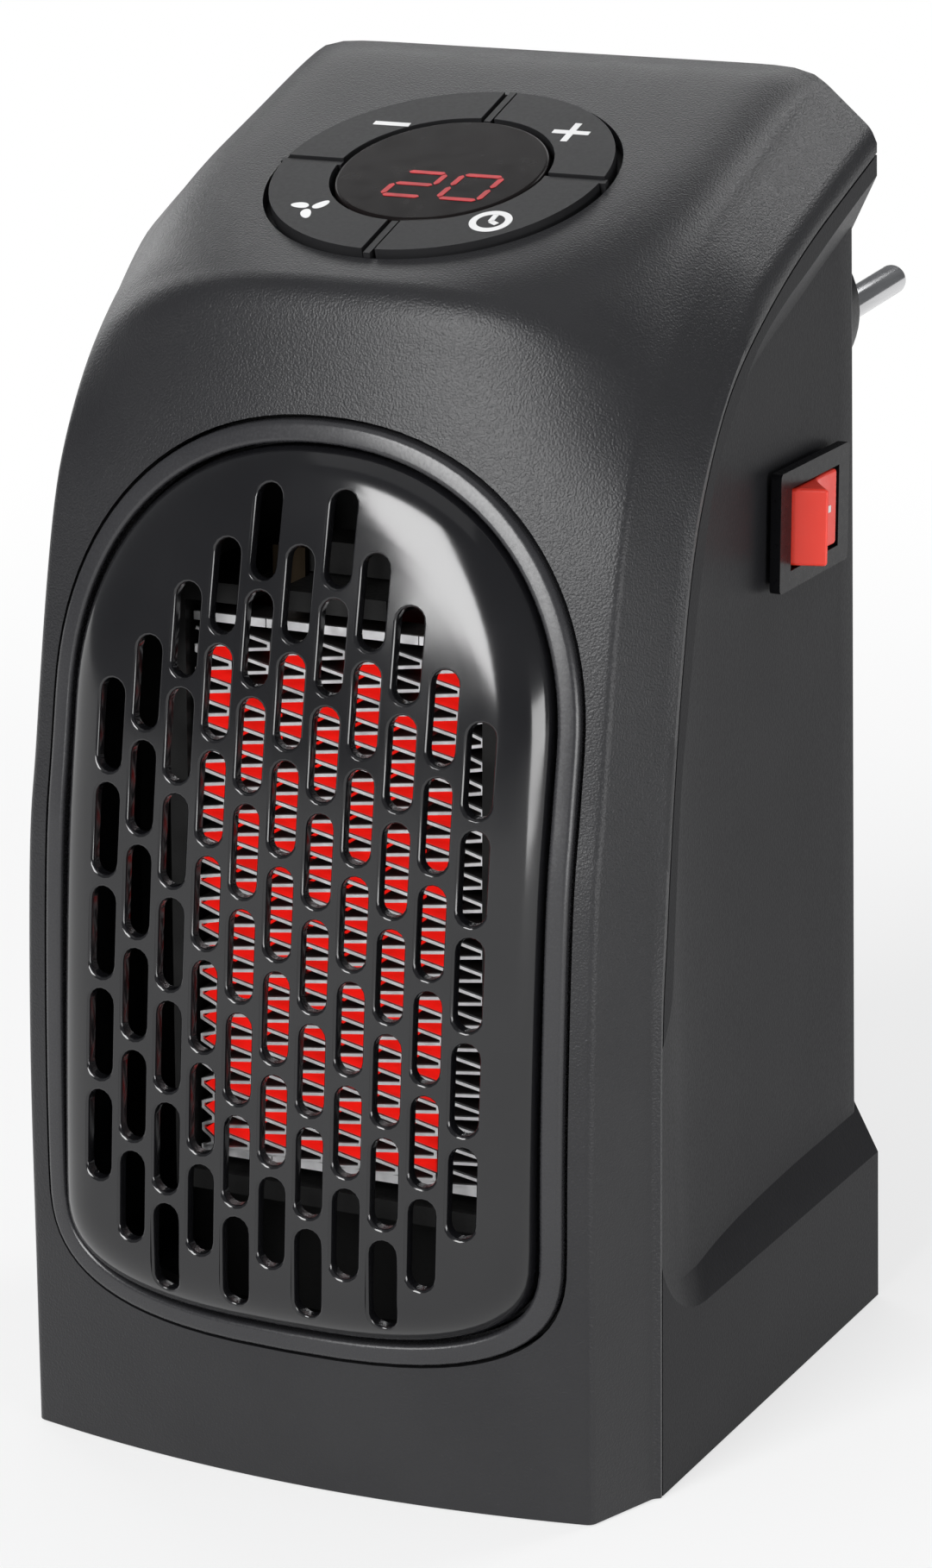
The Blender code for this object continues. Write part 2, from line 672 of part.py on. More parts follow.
def recess_mesh(side):
    """The volume that the side recess takes away: the panel's plan curve within its sloping edges."""
    half = BODY_WIDTH / 2
    depth = half - PANEL_HALF_WIDTH
    outside = half + OVERRUN
    curve = [((d - 0.5) * BODY_DEPTH, PANEL_HALF_WIDTH + s * depth) for d, s in PANEL_PLAN_SHARES]
    curve = [tuple(point) for point in smooth_curve(curve, steps=3)]
    corner_y = BODY_DEPTH / 2
    curve[-1] = (corner_y - REAR_CORNER_RADIUS, PANEL_HALF_WIDTH)
    for i in (1, 2, 3):
        angle = i / 3 * math.pi / 2
        curve.append(
            (
                corner_y - REAR_CORNER_RADIUS * (1 - math.sin(angle)),
                PANEL_HALF_WIDTH - REAR_CORNER_RADIUS * (1 - math.cos(angle)),
            )
        )
    curve.append((corner_y + OVERRUN, curve[-1][1]))
    plan = [*curve, (corner_y + OVERRUN, outside), (curve[0][0], outside)]
    levels = (-OVERRUN, BODY_HEIGHT)
    panel = loft_mesh(
        f"panel_{side}", [[(side * x, y - REAR_LEAN * z, z) for y, x in plan] for z in levels]
    )
    chamfer = [hood_outline(outside), hood_outline(half), hood_outline(PANEL_HALF_WIDTH - OVERRUN / 2)]
    rings = [[(side * x, y, z) for x, y, z in ring] for ring in chamfer]
    target = add_mesh(f"recess_{side}", loft_mesh(f"chamfer_{side}", rings))
    boolean(target, panel, "INTERSECT")
    graph = bpy.context.evaluated_depsgraph_get()
    mesh = bpy.data.meshes.new_from_object(target.evaluated_get(graph))
    bpy.data.objects.remove(target)
    return mesh


def hood_outline(x):
    """The recess's outline at one x level: it shrinks towards the panel by the chamfer's slope."""
    inset = RECESS_SLOPE * (BODY_WIDTH / 2 - x)
    hood = np.array(side_points(HOOD_SHARES))
    hood = offset_path(at_shares(smooth_curve(hood), np.linspace(0, 1, 17)), inset)
    front_y = hood[0][0]
    floor_z = RECESS_FLOOR + inset
    points = [(front_y, floor_z + RECESS_CORNER)]
    for i in (1, 2, 3, 4):
        angle = i / 4 * math.pi / 2
        across = RECESS_CORNER * (1 - math.cos(angle))
        points.append((front_y + across, floor_z + RECESS_CORNER * (1 - math.sin(angle))))
    points.append((hood[-1][0], floor_z))
    points += [tuple(point) for point in hood[::-1]]
    return [(x, y, z) for y, z in points]


def make_rear_shell(finish):
    half = BODY_WIDTH / 2
    shell = add_mesh("rear_shell", side_prism("rear_shell", rear_outline(), half), finish)
    for side in (-1, 1):
        cut(shell, recess_mesh(side))
    cut(shell, side_prism("cavity", cavity_outline(), PANEL_HALF_WIDTH - WALL))
    cut(shell, side_prism("base_cavity", base_cavity_outline(), half - WALL))
    cut(shell, side_prism("rebate", rebate_outline(), half - REBATE_LAND))
    join(shell, merged_mesh("posts", rear_posts()))
    cut(shell, merged_mesh("screw_bores", screw_bores()))
    cut(shell, merged_mesh("intake", intake_slots()))
    cut(shell, switch_hole())
    hub = PLUG_HUB_RADIUS + FIT_GAP
    cut(shell, cylinder_mesh("plug_hole", hub, -OVERRUN - WALL, OVERRUN, PLUG_FRAME))
    return shell


def cavity_outline():
    """The hollow inside the rear shell, open to the front."""
    points = rear_outline(inset=WALL)
    points[0] = (points[0][0] - OVERRUN, points[0][1])
    shifted = [(y - OVERRUN, z) for y, z in points[1:-2]]
    top_y, top_z = points[-2]
    return [points[0], *shifted, (top_y, top_z - WALL), points[-1]]


def rebate_outline():
    """A band along the seam as far as the rear wall, which clears the inner edge of the front shell."""
    seam = at_shares(side_curve(SEAM_SHARES), ROW_SHARES)
    front = offset_path(seam, -OVERRUN)
    back = offset_path(seam, FIT_GAP + REBATE_DEPTH)
    return [(min(y, rear_y(z) - WALL), z) for y, z in [*front, *back[::-1]]]


def base_cavity_outline():
    """The wider hollow behind the base band."""
    front = rear_outline()[0][0] - OVERRUN
    top = RECESS_FLOOR - WALL
    return [(front, WALL), (front, top), (rear_y(top) - WALL, top), (rear_y(WALL) - WALL, WALL)]


def rear_posts():
    """Tubes from the rear wall to the joint with the front posts."""
    posts = []
    for x, z, joint_y in post_places():
        start, end = joint_y + FIT_GAP, rear_y(z) - WALL / 2
        posts.append(cylinder_mesh("post", POST_RADIUS, start, end, along_y(x, z), segments=20))
    return posts


def screw_bores():
    """Through holes with a counterbore from the rear face, which leaves a seat for each screw head."""
    bores = []
    shank = SCREW_RADIUS + FIT_GAP
    head = SCREW_HEAD_RADIUS + FIT_GAP
    for x, z, joint_y in post_places():
        seat = joint_y + FIT_GAP + WALL
        start, end = joint_y - OVERRUN / 4, rear_y(z) + OVERRUN
        profile = [(0, start), (shank, start), (shank, seat), (head, seat), (head, end), (0, end)]
        bores.append(turned_mesh("bore", profile, along_y(x, z), steps=16))
    return bores


def intake_slots():
    """Rows of level slots in the rear wall, in two columns."""
    slots = []
    rows = int(2 * INTAKE_HALF_HEIGHT / INTAKE_SLOT_PITCH) + 1
    low = ELEMENT_CENTRE_Z - INTAKE_HALF_HEIGHT
    length = INTAKE_HALF_WIDTH - INTAKE_SLOT_PITCH / 2
    for row in range(rows):
        z = low + row * INTAKE_SLOT_PITCH
        for side in (-1, 1):
            outline = rectangle(length, INTAKE_SLOT_WIDTH, (side * INTAKE_HALF_WIDTH / 2, z))
            back = rear_y(z)
            slots.append(outline_mesh("slot", [outline], -back - OVERRUN, -back + OVERRUN, FACING_FRONT))
    return slots


def switch_hole():
    width, height = switch_body_size()
    size = (OVERRUN * 2 + WALL, width + 2 * FIT_GAP, height + 2 * FIT_GAP)
    return box_mesh("switch_hole", size, (PANEL_HALF_WIDTH - WALL / 2, SWITCH_Y, SWITCH_Z))


# Outlet pieces


def make_ring(tree, finish):
    """The rounded trim ring between the two dark grooves, following the front surface."""
    outer = RING_GROOVE
    inner = RING_GROOVE + RING_WIDTH
    section = (
        (outer, WALL),
        (outer, RING_ROUNDING - RING_PROUD),
        (outer + RING_ROUNDING, -RING_PROUD),
        (inner - RING_ROUNDING, -RING_PROUD),
        (inner, RING_ROUNDING - RING_PROUD),
        (inner, WALL),
    )
    loops = []
    for inset, depth in section:
        loop = opening_loop(inset)
        loops.append([(x, surface_y(tree, x, z) + depth, z) for x, z in loop])
    add_mesh("grille_ring", loft_mesh("grille_ring", loops, closed=True), finish)


def grille_profile():
    return smooth_curve(side_points(GRILLE_PROFILE_SHARES))


def make_grille(tree, finish):
    """A domed plate: flange behind the shell, groove floor, rolled edge, and a crowned field with slots."""
    profile = grille_profile()
    rim = 2 * RING_GROOVE + RING_WIDTH
    flange_depth = WALL + 2 * FIT_GAP

    def dome_y(x, z):
        width = OPENING_HALF_WIDTH - rim
        return float(np.interp(z, profile[:, 1], profile[:, 0])) + GRILLE_CROWN * (x / width) ** 2

    def rim_y(x, z):
        return surface_y(tree, x, z) + GRILLE_RIM_DROP

    def rolled(inset, x, z):
        share = (inset - rim) / GRILLE_FILLET
        drop = 1 - math.sqrt(1 - (1 - share) ** 2)
        return dome_y(x, z) + (rim_y(x, z) - dome_y(x, z)) * drop

    geometry = bmesh.new()
    loops = []
    for inset in (-FLANGE_OVERLAP, rim):
        loop = [(x, surface_y(tree, x, z) + flange_depth, z) for x, z in opening_loop(inset)]
        loops.append([geometry.verts.new(point) for point in loop])
    for share in DOME_RING_SHARES:
        inset = rim + share * GRILLE_FILLET
        loop = [(x, rolled(inset, x, z), z) for x, z in opening_loop(inset)]
        loops.append([geometry.verts.new(point) for point in loop])
    count = len(loops[0])
    for outer, inner in zip(loops, loops[1:]):
        for i in range(count):
            j = (i + 1) % count
            geometry.faces.new((outer[i], outer[j], inner[j], inner[i]))
    fill_dome(geometry, loops[-1], dome_y)
    plate = add_mesh("grille", mesh_from("grille", geometry), finish)
    wall = plate.modifiers.new("wall", "SOLIDIFY")
    wall.thickness = GRILLE_WALL
    wall.offset = -1
    wall.use_quality_normals = True
    cut(plate, merged_mesh("slots", grille_slots(profile)))
    return profile


def fill_dome(geometry, loop, dome_y):
    """Rows across the field of the grille, between each pair of mirrored points of its last loop."""
    half = len(loop) // 2
    rows = []
    for i in range(2, half - 1):
        right, left = loop[i], loop[-i]
        inner = []
        for share in (0.5, 0.0, -0.5):
            x = right.co.x * share
            inner.append(geometry.verts.new((x, dome_y(x, right.co.z), right.co.z)))
        rows.append([right, *inner, left])
    for lower, upper in zip(rows, rows[1:]):
        for i in range(len(lower) - 1):
            geometry.faces.new((lower[i], upper[i], upper[i + 1], lower[i + 1]))
    close_dome(geometry, (loop[1], loop[0], loop[-1]), rows[0])
    close_dome(geometry, (loop[half + 1], loop[half], loop[half - 1]), rows[-1][::-1])


def close_dome(geometry, end, row):
    """Joins a row to the three points at one end of the loop."""
    first, pole, last = end
    geometry.faces.new((first, row[0], row[1]))
    geometry.faces.new((first, row[1], row[2], pole))
    geometry.faces.new((pole, row[2], row[3], last))
    geometry.faces.new((last, row[3], row[4]))


def grille_slots(profile):
    """Staggered round-ended slots, evenly spaced along the curved middle of the plate."""
    lengths = np.concatenate([[0], np.cumsum(np.linalg.norm(np.diff(profile, axis=0), axis=1))])
    first = np.interp(SLOT_FIRST_ROW, profile[:, 1], lengths)
    slots = []
    for column in range(1 - len(SLOT_ROWS), len(SLOT_ROWS)):
        low, high = SLOT_ROWS[abs(column)]
        stagger = SLOT_STAGGER_SHARE if column % 2 == 0 else 0.0
        for row in range(low, high + 1):
            z = np.interp(first + (row + stagger) * SLOT_PITCH_Z, lengths, profile[:, 1])
            outline = slot_outline(SLOT_WIDTH, SLOT_LENGTH, (column * SLOT_PITCH_X, z))
            slots.append(outline_mesh("slot", [outline], 0, BODY_DEPTH, FACING_FRONT))
    return slots


# Heating element


def element_front(profile):
    """The y of the front of the heating element, behind the middle of the grille."""
    return float(np.interp(ELEMENT_CENTRE_Z, profile[:, 1], profile[:, 0])) + ELEMENT_BEHIND_GRILLE


def fin_outline(width):
    """A folded foil as a closed outline: level leaves and rising leaves in turn, joined by short bends."""
    path = []
    half = width / 2
    low = ELEMENT_CENTRE_Z - ELEMENT_HEIGHT / 2 + FIN_BEND
    count = int((ELEMENT_HEIGHT - 2 * FIN_BEND) / FIN_PITCH)
    for i in range(count):
        z = low + i * FIN_PITCH
        path += [(-half, z), (half, z), (half, z + FIN_BEND), (-half, z + FIN_PITCH - FIN_BEND)]
    points = np.array(path)
    return thick_path(points, FIN_THICKNESS)


def thick_path(points, thickness):
    """A closed outline at half the thickness on both sides of an open path, mitred at its corners."""
    steps = np.diff(points, axis=0)
    steps /= np.linalg.norm(steps, axis=1)[:, None]
    normals = np.stack([-steps[:, 1], steps[:, 0]], axis=1)
    before = np.vstack([normals[:1], normals])
    after = np.vstack([normals, normals[-1:]])
    mitre = before + after
    mitre /= (1 + np.sum(before * after, axis=1))[:, None]
    side = mitre * thickness / 2
    return [tuple(p) for p in points + side] + [tuple(p) for p in (points - side)[::-1]]


def make_element(front_y, finishes):
    foil, bar, plastic, brass = finishes
    low = ELEMENT_CENTRE_Z - ELEMENT_HEIGHT / 2
    high = low + ELEMENT_HEIGHT
    rear = front_y + ELEMENT_DEPTH
    half_bar = PTC_BAR_WIDTH / 2
    middle_width = 2 * (PTC_BAR_X - half_bar - FIT_GAP) - FIN_THICKNESS
    outer_width = ELEMENT_WIDTH / 2 - PTC_BAR_X - half_bar - FIT_GAP - FIN_THICKNESS
    outer_x = (ELEMENT_WIDTH / 2 + PTC_BAR_X + half_bar + FIT_GAP) / 2
    strips = (("left", -outer_x, outer_width), ("middle", 0, middle_width), ("right", outer_x, outer_width))
    for name, x, width in strips:
        place = Matrix.Translation((x, 0, 0)) @ FACING_FRONT
        add_mesh(f"fin_strip_{name}", outline_mesh(name, [fin_outline(width)], -rear, -front_y, place), foil)
    for name, side in (("left", -1), ("right", 1)):
        size = (PTC_BAR_WIDTH, ELEMENT_DEPTH, ELEMENT_HEIGHT)
        centre = (side * PTC_BAR_X, (front_y + rear) / 2, ELEMENT_CENTRE_Z)
        add_mesh(f"ptc_bar_{name}", box_mesh(name, size, centre), bar)
        tab = (TERMINAL_WIDTH, TERMINAL_THICKNESS, TERMINAL_LENGTH)
        tab_z = high + FIT_GAP + TERMINAL_LENGTH / 2
        centre = (side * PTC_BAR_X, front_y + ELEMENT_DEPTH / 2, tab_z)
        add_mesh(f"ptc_terminal_{name}", box_mesh(name, tab, centre), brass)
    make_element_frame(front_y, rear, low, high, plastic)


def make_element_frame(front_y, rear, low, high, finish):
    """A rectangular sleeve round the element, from just in front of it back to the bulkhead."""
    clear = FIT_GAP
    inner_width = ELEMENT_WIDTH + 2 * clear
    inner_height = ELEMENT_HEIGHT + 2 * clear
    wall = 2 * FRAME_WALL
    outer = rectangle(inner_width + wall, inner_height + wall, (0, ELEMENT_CENTRE_Z))
    inner = rectangle(inner_width, inner_height, (0, ELEMENT_CENTRE_Z))
    back = BULKHEAD_Y - FIT_GAP
    start = front_y - FRAME_LIP
    sleeve = sleeve_mesh("element_frame", outer, inner, -back, -start, FACING_FRONT)
    frame = add_mesh("element_frame", sleeve, finish)
    notches = []
    notch_back = front_y + (ELEMENT_DEPTH + TERMINAL_THICKNESS) / 2 + clear
    for side in (-1, 1):
        size = (TERMINAL_WIDTH + 2 * clear, notch_back - start + OVERRUN, FRAME_WALL * 2)
        centre = (side * PTC_BAR_X, (notch_back + start - OVERRUN) / 2, high + FRAME_WALL)
        notches.append(box_mesh("notch", size, centre))
    cut(frame, merged_mesh("notches", notches))
    lip = rectangle(inner_width + wall / 2, inner_height + wall / 2, (0, ELEMENT_CENTRE_Z))
    window = rectangle(ELEMENT_WIDTH - FRAME_LIP, ELEMENT_HEIGHT - FRAME_LIP, (0, ELEMENT_CENTRE_Z))
    lip_back = rear + FIT_GAP
    join(frame, sleeve_mesh("lip", lip, window, -lip_back - FRAME_LIP, -lip_back, FACING_FRONT))


# Bulkhead and fan


def make_bulkhead(finish):
    """The partition that carries the element in front and the fan behind. It stands on the rear shell."""
    half = PANEL_HALF_WIDTH - WALL - FIT_GAP
    low = WALL + FIT_GAP
    outline = rectangle(2 * half, BULKHEAD_TOP - low, (0, (BULKHEAD_TOP + low) / 2))
    bore = circle(FAN_BORE_RADIUS - WALL, (0, ELEMENT_CENTRE_Z), steps=32)
    back = BULKHEAD_Y + BULKHEAD_THICKNESS
    sheet = outline_mesh("bulkhead", [outline, bore], -back, -BULKHEAD_Y, FACING_FRONT)
    plate = add_mesh("bulkhead", sheet, finish)
    notches = []
    for x, z, joint_y in post_places():
        if z < BULKHEAD_TOP:
            notch = POST_RADIUS + FIT_GAP
            size = (2 * (half - abs(x) + notch), OVERRUN * 2, 2 * notch)
            centre = (math.copysign(half, x), back - BULKHEAD_THICKNESS / 2, z)
            notches.append(box_mesh("notch", size, centre))
    cut(plate, merged_mesh("notches", notches))


def fan_axis_frame(y):
    """Local Z runs to the rear along the fan's axis, from y."""
    return Matrix.Translation((0, y, ELEMENT_CENTRE_Z)) @ Matrix.Rotation(-math.pi / 2, 4, "X")


def make_fan(finishes):
    plastic, impeller_plastic, copper = finishes
    front = BULKHEAD_Y + BULKHEAD_THICKNESS + FIT_GAP
    axis = fan_axis_frame(front)
    body = [rectangle(FAN_SIZE, FAN_SIZE, radius=FAN_SPIDER_WIDTH), circle(FAN_BORE_RADIUS, steps=32)]
    frame = add_mesh("fan_frame", outline_mesh("fan_frame", body, 0, FAN_DEPTH, axis), plastic)
    spider = []
    for i in range(3):
        turn = axis @ Matrix.Rotation(math.radians(90 + 120 * i), 4, "Z")
        start, end = FAN_HUB_RADIUS / 2, FAN_BORE_RADIUS + FAN_SPIDER_WIDTH / 4
        size = (end - start, FAN_SPIDER_WIDTH, FAN_SPIDER_DEPTH / 2)
        spider.append(box_mesh("strut", size, ((start + end) / 2, 0, FAN_DEPTH - FAN_SPIDER_DEPTH / 2), turn))
    seat = FAN_DEPTH - FAN_SPIDER_DEPTH
    disc = cylinder_mesh("motor_seat", FAN_HUB_RADIUS, seat, FAN_DEPTH, axis, segments=28)
    hub = add_mesh("motor_seat", disc)
    for mesh in spider:
        join(hub, mesh)
    graph = bpy.context.evaluated_depsgraph_get()
    join(frame, bpy.data.meshes.new_from_object(hub.evaluated_get(graph)))
    bpy.data.objects.remove(hub)
    make_stator(axis, seat, copper)
    make_impeller(axis, front, seat, impeller_plastic)


def make_stator(axis, seat, finish):
    """The motor's winding, on the seat in the middle of the fan frame, with a bearing bore."""
    back = seat - FIT_GAP
    loops = [circle(STATOR_RADIUS, steps=24), circle(FAN_SHAFT_RADIUS + FIT_GAP, steps=12)]
    add_mesh("fan_stator", outline_mesh("fan_stator", loops, back - STATOR_LENGTH, back, axis), finish)


def make_impeller(axis, front, seat, finish):
    """A hub cup over the stator, its shaft, and pitched blades that run clear of the frame's bore."""
    nose = seat - FIT_GAP - FAN_HUB_LENGTH
    rim = seat - FIT_GAP - FIT_GAP
    hub = cylinder_mesh("fan_impeller", FAN_HUB_RADIUS, nose, rim, axis, segments=28)
    impeller = add_mesh("fan_impeller", hub, finish, origin=(0, front, ELEMENT_CENTRE_Z))
    cup = FAN_HUB_RADIUS - FAN_HUB_WALL
    cut(impeller, cylinder_mesh("cup", cup, nose + FAN_HUB_WALL, rim + OVERRUN, axis, segments=24))
    join(impeller, cylinder_mesh("shaft", FAN_SHAFT_RADIUS, nose + FAN_HUB_WALL / 2, rim, axis, segments=12))
    middle = (nose + rim) / 2
    for i in range(FAN_BLADES):
        turn = axis @ Matrix.Rotation(2 * math.pi * i / FAN_BLADES, 4, "Z")
        join(impeller, blade_mesh(turn, middle))


def blade_mesh(turn, middle):
    """A twisted blade, lofted from the hub to the tip. It is steeper at the hub."""
    rings = []
    for share in (0.0, 0.5, 1.0):
        start = FAN_HUB_RADIUS - FAN_HUB_WALL / 2
        radius = start + (FAN_TIP_RADIUS - start) * share
        angle = FAN_BLADE_ANGLE * np.interp(share, (0, 1), FAN_PITCH_SHARES)
        chord = FAN_BLADE_CHORD * np.interp(share, (0, 1), FAN_CHORD_SHARES)
        ring = []
        for along, across in ((-0.5, -0.5), (0.5, -0.5), (0.5, 0.5), (-0.5, 0.5)):
            a, t = chord * along, FAN_BLADE_THICKNESS * across
            swing = a * math.cos(angle) - t * math.sin(angle)
            height = a * math.sin(angle) + t * math.cos(angle)
            theta = swing / radius
            ring.append((radius * math.cos(theta), radius * math.sin(theta), middle + height))
        rings.append(ring)
    mesh = loft_mesh("blade", rings)
    mesh.transform(turn)
    return mesh


# Power board


def make_power_board(finishes):
    board, relay_plastic, sleeve, cutout_metal = finishes
    front = BULKHEAD_Y + BULKHEAD_THICKNESS + FIT_GAP
    back = front + BOARD_THICKNESS
    z = BULKHEAD_TOP - POWER_BOARD_HEIGHT / 2
    size = (POWER_BOARD_WIDTH, BOARD_THICKNESS, POWER_BOARD_HEIGHT)
    add_mesh("power_board", box_mesh("power_board", size, (POWER_BOARD_X, (front + back) / 2, z)), board)
    width, height, depth = RELAY_SIZE
    centre = (POWER_BOARD_X - POWER_BOARD_WIDTH / 4, back + FIT_GAP + depth / 2, z)
    add_mesh("relay", box_mesh("relay", (width, depth, height), centre), relay_plastic)
    turn = along_y(POWER_BOARD_X + POWER_BOARD_WIDTH / 4, z)
    start = back + FIT_GAP
    can = cylinder_mesh("capacitor", CAPACITOR_RADIUS, start, start + CAPACITOR_LENGTH, turn, segments=20)
    add_mesh("capacitor", can, sleeve)
    cutout_size = CUTOUT_SIZE
    top = ELEMENT_CENTRE_Z + ELEMENT_HEIGHT / 2 + 2 * FIT_GAP + FRAME_WALL
    centre = (0, BULKHEAD_Y - CUTOUT_SIZE[1], top + CUTOUT_SIZE[2] / 2)
    add_mesh("thermal_cutout", box_mesh("thermal_cutout", cutout_size, centre), cutout_metal)


# Control panel


def panel_frame():
    """Frame on the sloping top: origin at the panel's centre, local Z along the outward normal."""
    curve = side_curve(CENTRE_SHARES)
    y = CONTROL_Y
    beyond = curve[:, 1] > OPENING_HIGH_CENTRE + OPENING_HIGH_REACH
    ys, zs = curve[beyond, 0], curve[beyond, 1]
    z = np.interp(y, ys, zs)
    span = CONTROL_RADIUS
    slope = math.atan2(np.interp(y + span, ys, zs) - np.interp(y - span, ys, zs), 2 * span)
    return Matrix.Translation((0, y, z)) @ Matrix.Rotation(slope, 4, "X")


def sector(inner, outer, quarter, gap, steps=7):
    """A quarter of a ring, kept clear of the dividers that run along the local axes."""
    turn = quarter * math.pi / 2
    points = []
    for radius, order in ((outer, range(steps + 1)), (inner, range(steps, -1, -1))):
        start = math.asin(gap / radius)
        for i in order:
            angle = turn + start + (math.pi / 2 - 2 * start) * i / steps
            points.append(Vector((radius * math.cos(angle), radius * math.sin(angle))))
    return points


def board_posts():
    """Posts under the top wall that carry the bezel flange and the control board."""
    posts = []
    radius = CONTROL_RADIUS + BEZEL_REACH + FIT_GAP + BOARD_POST_RADIUS
    for angle in (0, math.pi / 2, math.pi, 3 * math.pi / 2):
        place = Matrix.Translation((radius * math.cos(angle), radius * math.sin(angle), 0))
        low = -CONTROL_BOARD_DROP + FIT_GAP
        posts.append(
            cylinder_mesh("post", BOARD_POST_RADIUS, low, -WALL / 2, PANEL_FRAME @ place, segments=12)
        )
    return posts


def make_bezel(finish):
    """A flange under the top wall, a collar round the display and four divider ribs, flush with the top."""
    top = -WALL - FIT_GAP
    radius = CONTROL_RADIUS + BEZEL_REACH
    stem = KEY_STEM_RADIUS + FIT_GAP
    loops = [circle(radius), circle(DISPLAY_RADIUS - COLLAR_WIDTH)]
    loops += [circle(stem, place, steps=8) for place in key_centres()]
    flange = outline_mesh("control_bezel", loops, top - BEZEL_FLANGE, top, PANEL_FRAME)
    bezel = add_mesh("control_bezel", flange, finish)
    collar = [circle(DISPLAY_RADIUS + COLLAR_WIDTH, steps=32), circle(DISPLAY_RADIUS, steps=32)]
    low = top - BEZEL_FLANGE / 2
    join(bezel, outline_mesh("collar", collar, low, COLLAR_WIDTH / 2, PANEL_FRAME))
    reach = CONTROL_RADIUS - DISPLAY_RADIUS - COLLAR_WIDTH / 2
    for quarter in range(4):
        turn = PANEL_FRAME @ Matrix.Rotation(quarter * math.pi / 2, 4, "Z")
        centre = (CONTROL_RADIUS - reach / 2, 0, low / 2)
        join(bezel, box_mesh(f"divider_{quarter}", (reach, DIVIDER_WIDTH, -low), centre, turn))


def key_centres():
    middle = (CONTROL_RADIUS + DISPLAY_RADIUS) / 2
    angles = [math.pi / 4 + quarter * math.pi / 2 for quarter in range(4)]
    return [(middle * math.cos(a), middle * math.sin(a)) for a in angles]


def make_keys(finish):
    """Four quarter-ring keys on stems. Each slides straight into the panel."""
    inner = DISPLAY_RADIUS + COLLAR_WIDTH + FIT_GAP
    outer = CONTROL_RADIUS - KEY_GROOVE
    gap = DIVIDER_WIDTH / 2 + KEY_GROOVE
    names = ("key_plus", "key_minus", "key_speed", "key_timer")
    for quarter, (name, place) in enumerate(zip(names, key_centres())):
        outline = sector(inner, outer, quarter, gap)
        low = KEY_PROUD - KEY_THICKNESS
        cap = outline_mesh(name, [outline], low, KEY_PROUD, PANEL_FRAME)
        centre = PANEL_FRAME @ Vector((*place, 0))
        key = add_mesh(name, cap, finish, origin=centre)
        stem = PANEL_FRAME @ Matrix.Translation((*place, 0))
        join(key, cylinder_mesh("stem", KEY_STEM_RADIUS, stem_end(), low + KEY_THICKNESS / 2, stem, segments=12))


def stem_end():
    """Height of the lower end of a key's stem, clear of its switch by the travel."""
    return tact_top() + KEY_TRAVEL + FIT_GAP


def tact_top():
    return -CONTROL_BOARD_DROP + FIT_GAP + TACT_SIZE[2] + TACT_BUTTON_RADIUS / 2


def make_control_board(finishes):
    board, black, display, glass = finishes
    top = -CONTROL_BOARD_DROP
    outline = [circle(CONTROL_BOARD_RADIUS + BEZEL_REACH + BOARD_POST_RADIUS)]
    sheet = outline_mesh("control_board", outline, top - BOARD_THICKNESS, top, PANEL_FRAME)
    add_mesh("control_board", sheet, board)
    names = ("plus", "minus", "speed", "timer")
    for name, place in zip(names, key_centres()):
        low = top + FIT_GAP
        turn = PANEL_FRAME @ Matrix.Translation((*place, 0))
        body = box_mesh(f"tact_{name}", TACT_SIZE, (0, 0, low + TACT_SIZE[2] / 2), turn)
        tact = add_mesh(f"tact_{name}", body, black)
        middle = low + TACT_SIZE[2] / 2
        join(tact, cylinder_mesh("button", TACT_BUTTON_RADIUS, middle, tact_top(), turn, segments=12))
    size = (DISPLAY_MODULE_SIZE[0], DISPLAY_MODULE_SIZE[1], -DISPLAY_THICKNESS - FIT_GAP - top - FIT_GAP)
    centre = (0, 0, top + FIT_GAP + size[2] / 2)
    add_mesh("display_module", box_mesh("display_module", size, centre, PANEL_FRAME), display)
    window = cylinder_mesh(
        "display_window", DISPLAY_RADIUS - FIT_GAP, -DISPLAY_THICKNESS, 0, PANEL_FRAME, segments=32
    )
    add_mesh("display_window", window, glass)


# Rocker switch


def switch_body_size():
    """Length and height of the part of the switch that goes through the panel."""
    return SWITCH_LENGTH - 2 * SWITCH_END_RIM, SWITCH_HEIGHT - 2 * SWITCH_SIDE_RIM


def switch_frame():
    """Frame at the switch: local X along +Y, local Y up, local Z out of the panel."""
    return Matrix.Translation((PANEL_HALF_WIDTH, SWITCH_Y, SWITCH_Z)) @ FACING_SIDE


def rocker_window():
    """Length and height of the well that the rocker moves in."""
    length, height = switch_body_size()
    return length - 2 * SWITCH_BODY_WALL, height - 2 * SWITCH_BODY_WALL


def make_switch(finishes):
    black, red, brass = finishes
    frame = switch_frame()
    length, height = switch_body_size()
    body = outline_mesh("switch_body", [rectangle(length, height)], -SWITCH_BODY_DEPTH, SWITCH_PROUD / 2, frame)
    switch = add_mesh("switch_body", body, black)
    rim = rectangle(SWITCH_LENGTH, SWITCH_HEIGHT, radius=SWITCH_END_RIM / 3, steps=2)
    join(switch, outline_mesh("rim", [rim], FIT_GAP + WALL / 4, SWITCH_PROUD, frame))
    well = rocker_window()
    floor = ROCKER_PIVOT_OUT - ROCKER_KEEL - WALL
    cut(switch, outline_mesh("well", [rectangle(*well)], floor, SWITCH_PROUD + OVERRUN, frame))
    make_rocker(frame, well, red)
    for name, shift in (("front", -1), ("rear", 1)):
        width, thickness, reach = SPADE_SIZE
        low = -SWITCH_BODY_DEPTH - FIT_GAP - width
        centre = (shift * length / 4, 0, low + width / 2)
        spade = box_mesh(f"switch_spade_{name}", (thickness, reach, width), centre, frame)
        add_mesh(f"switch_spade_{name}", spade, brass)


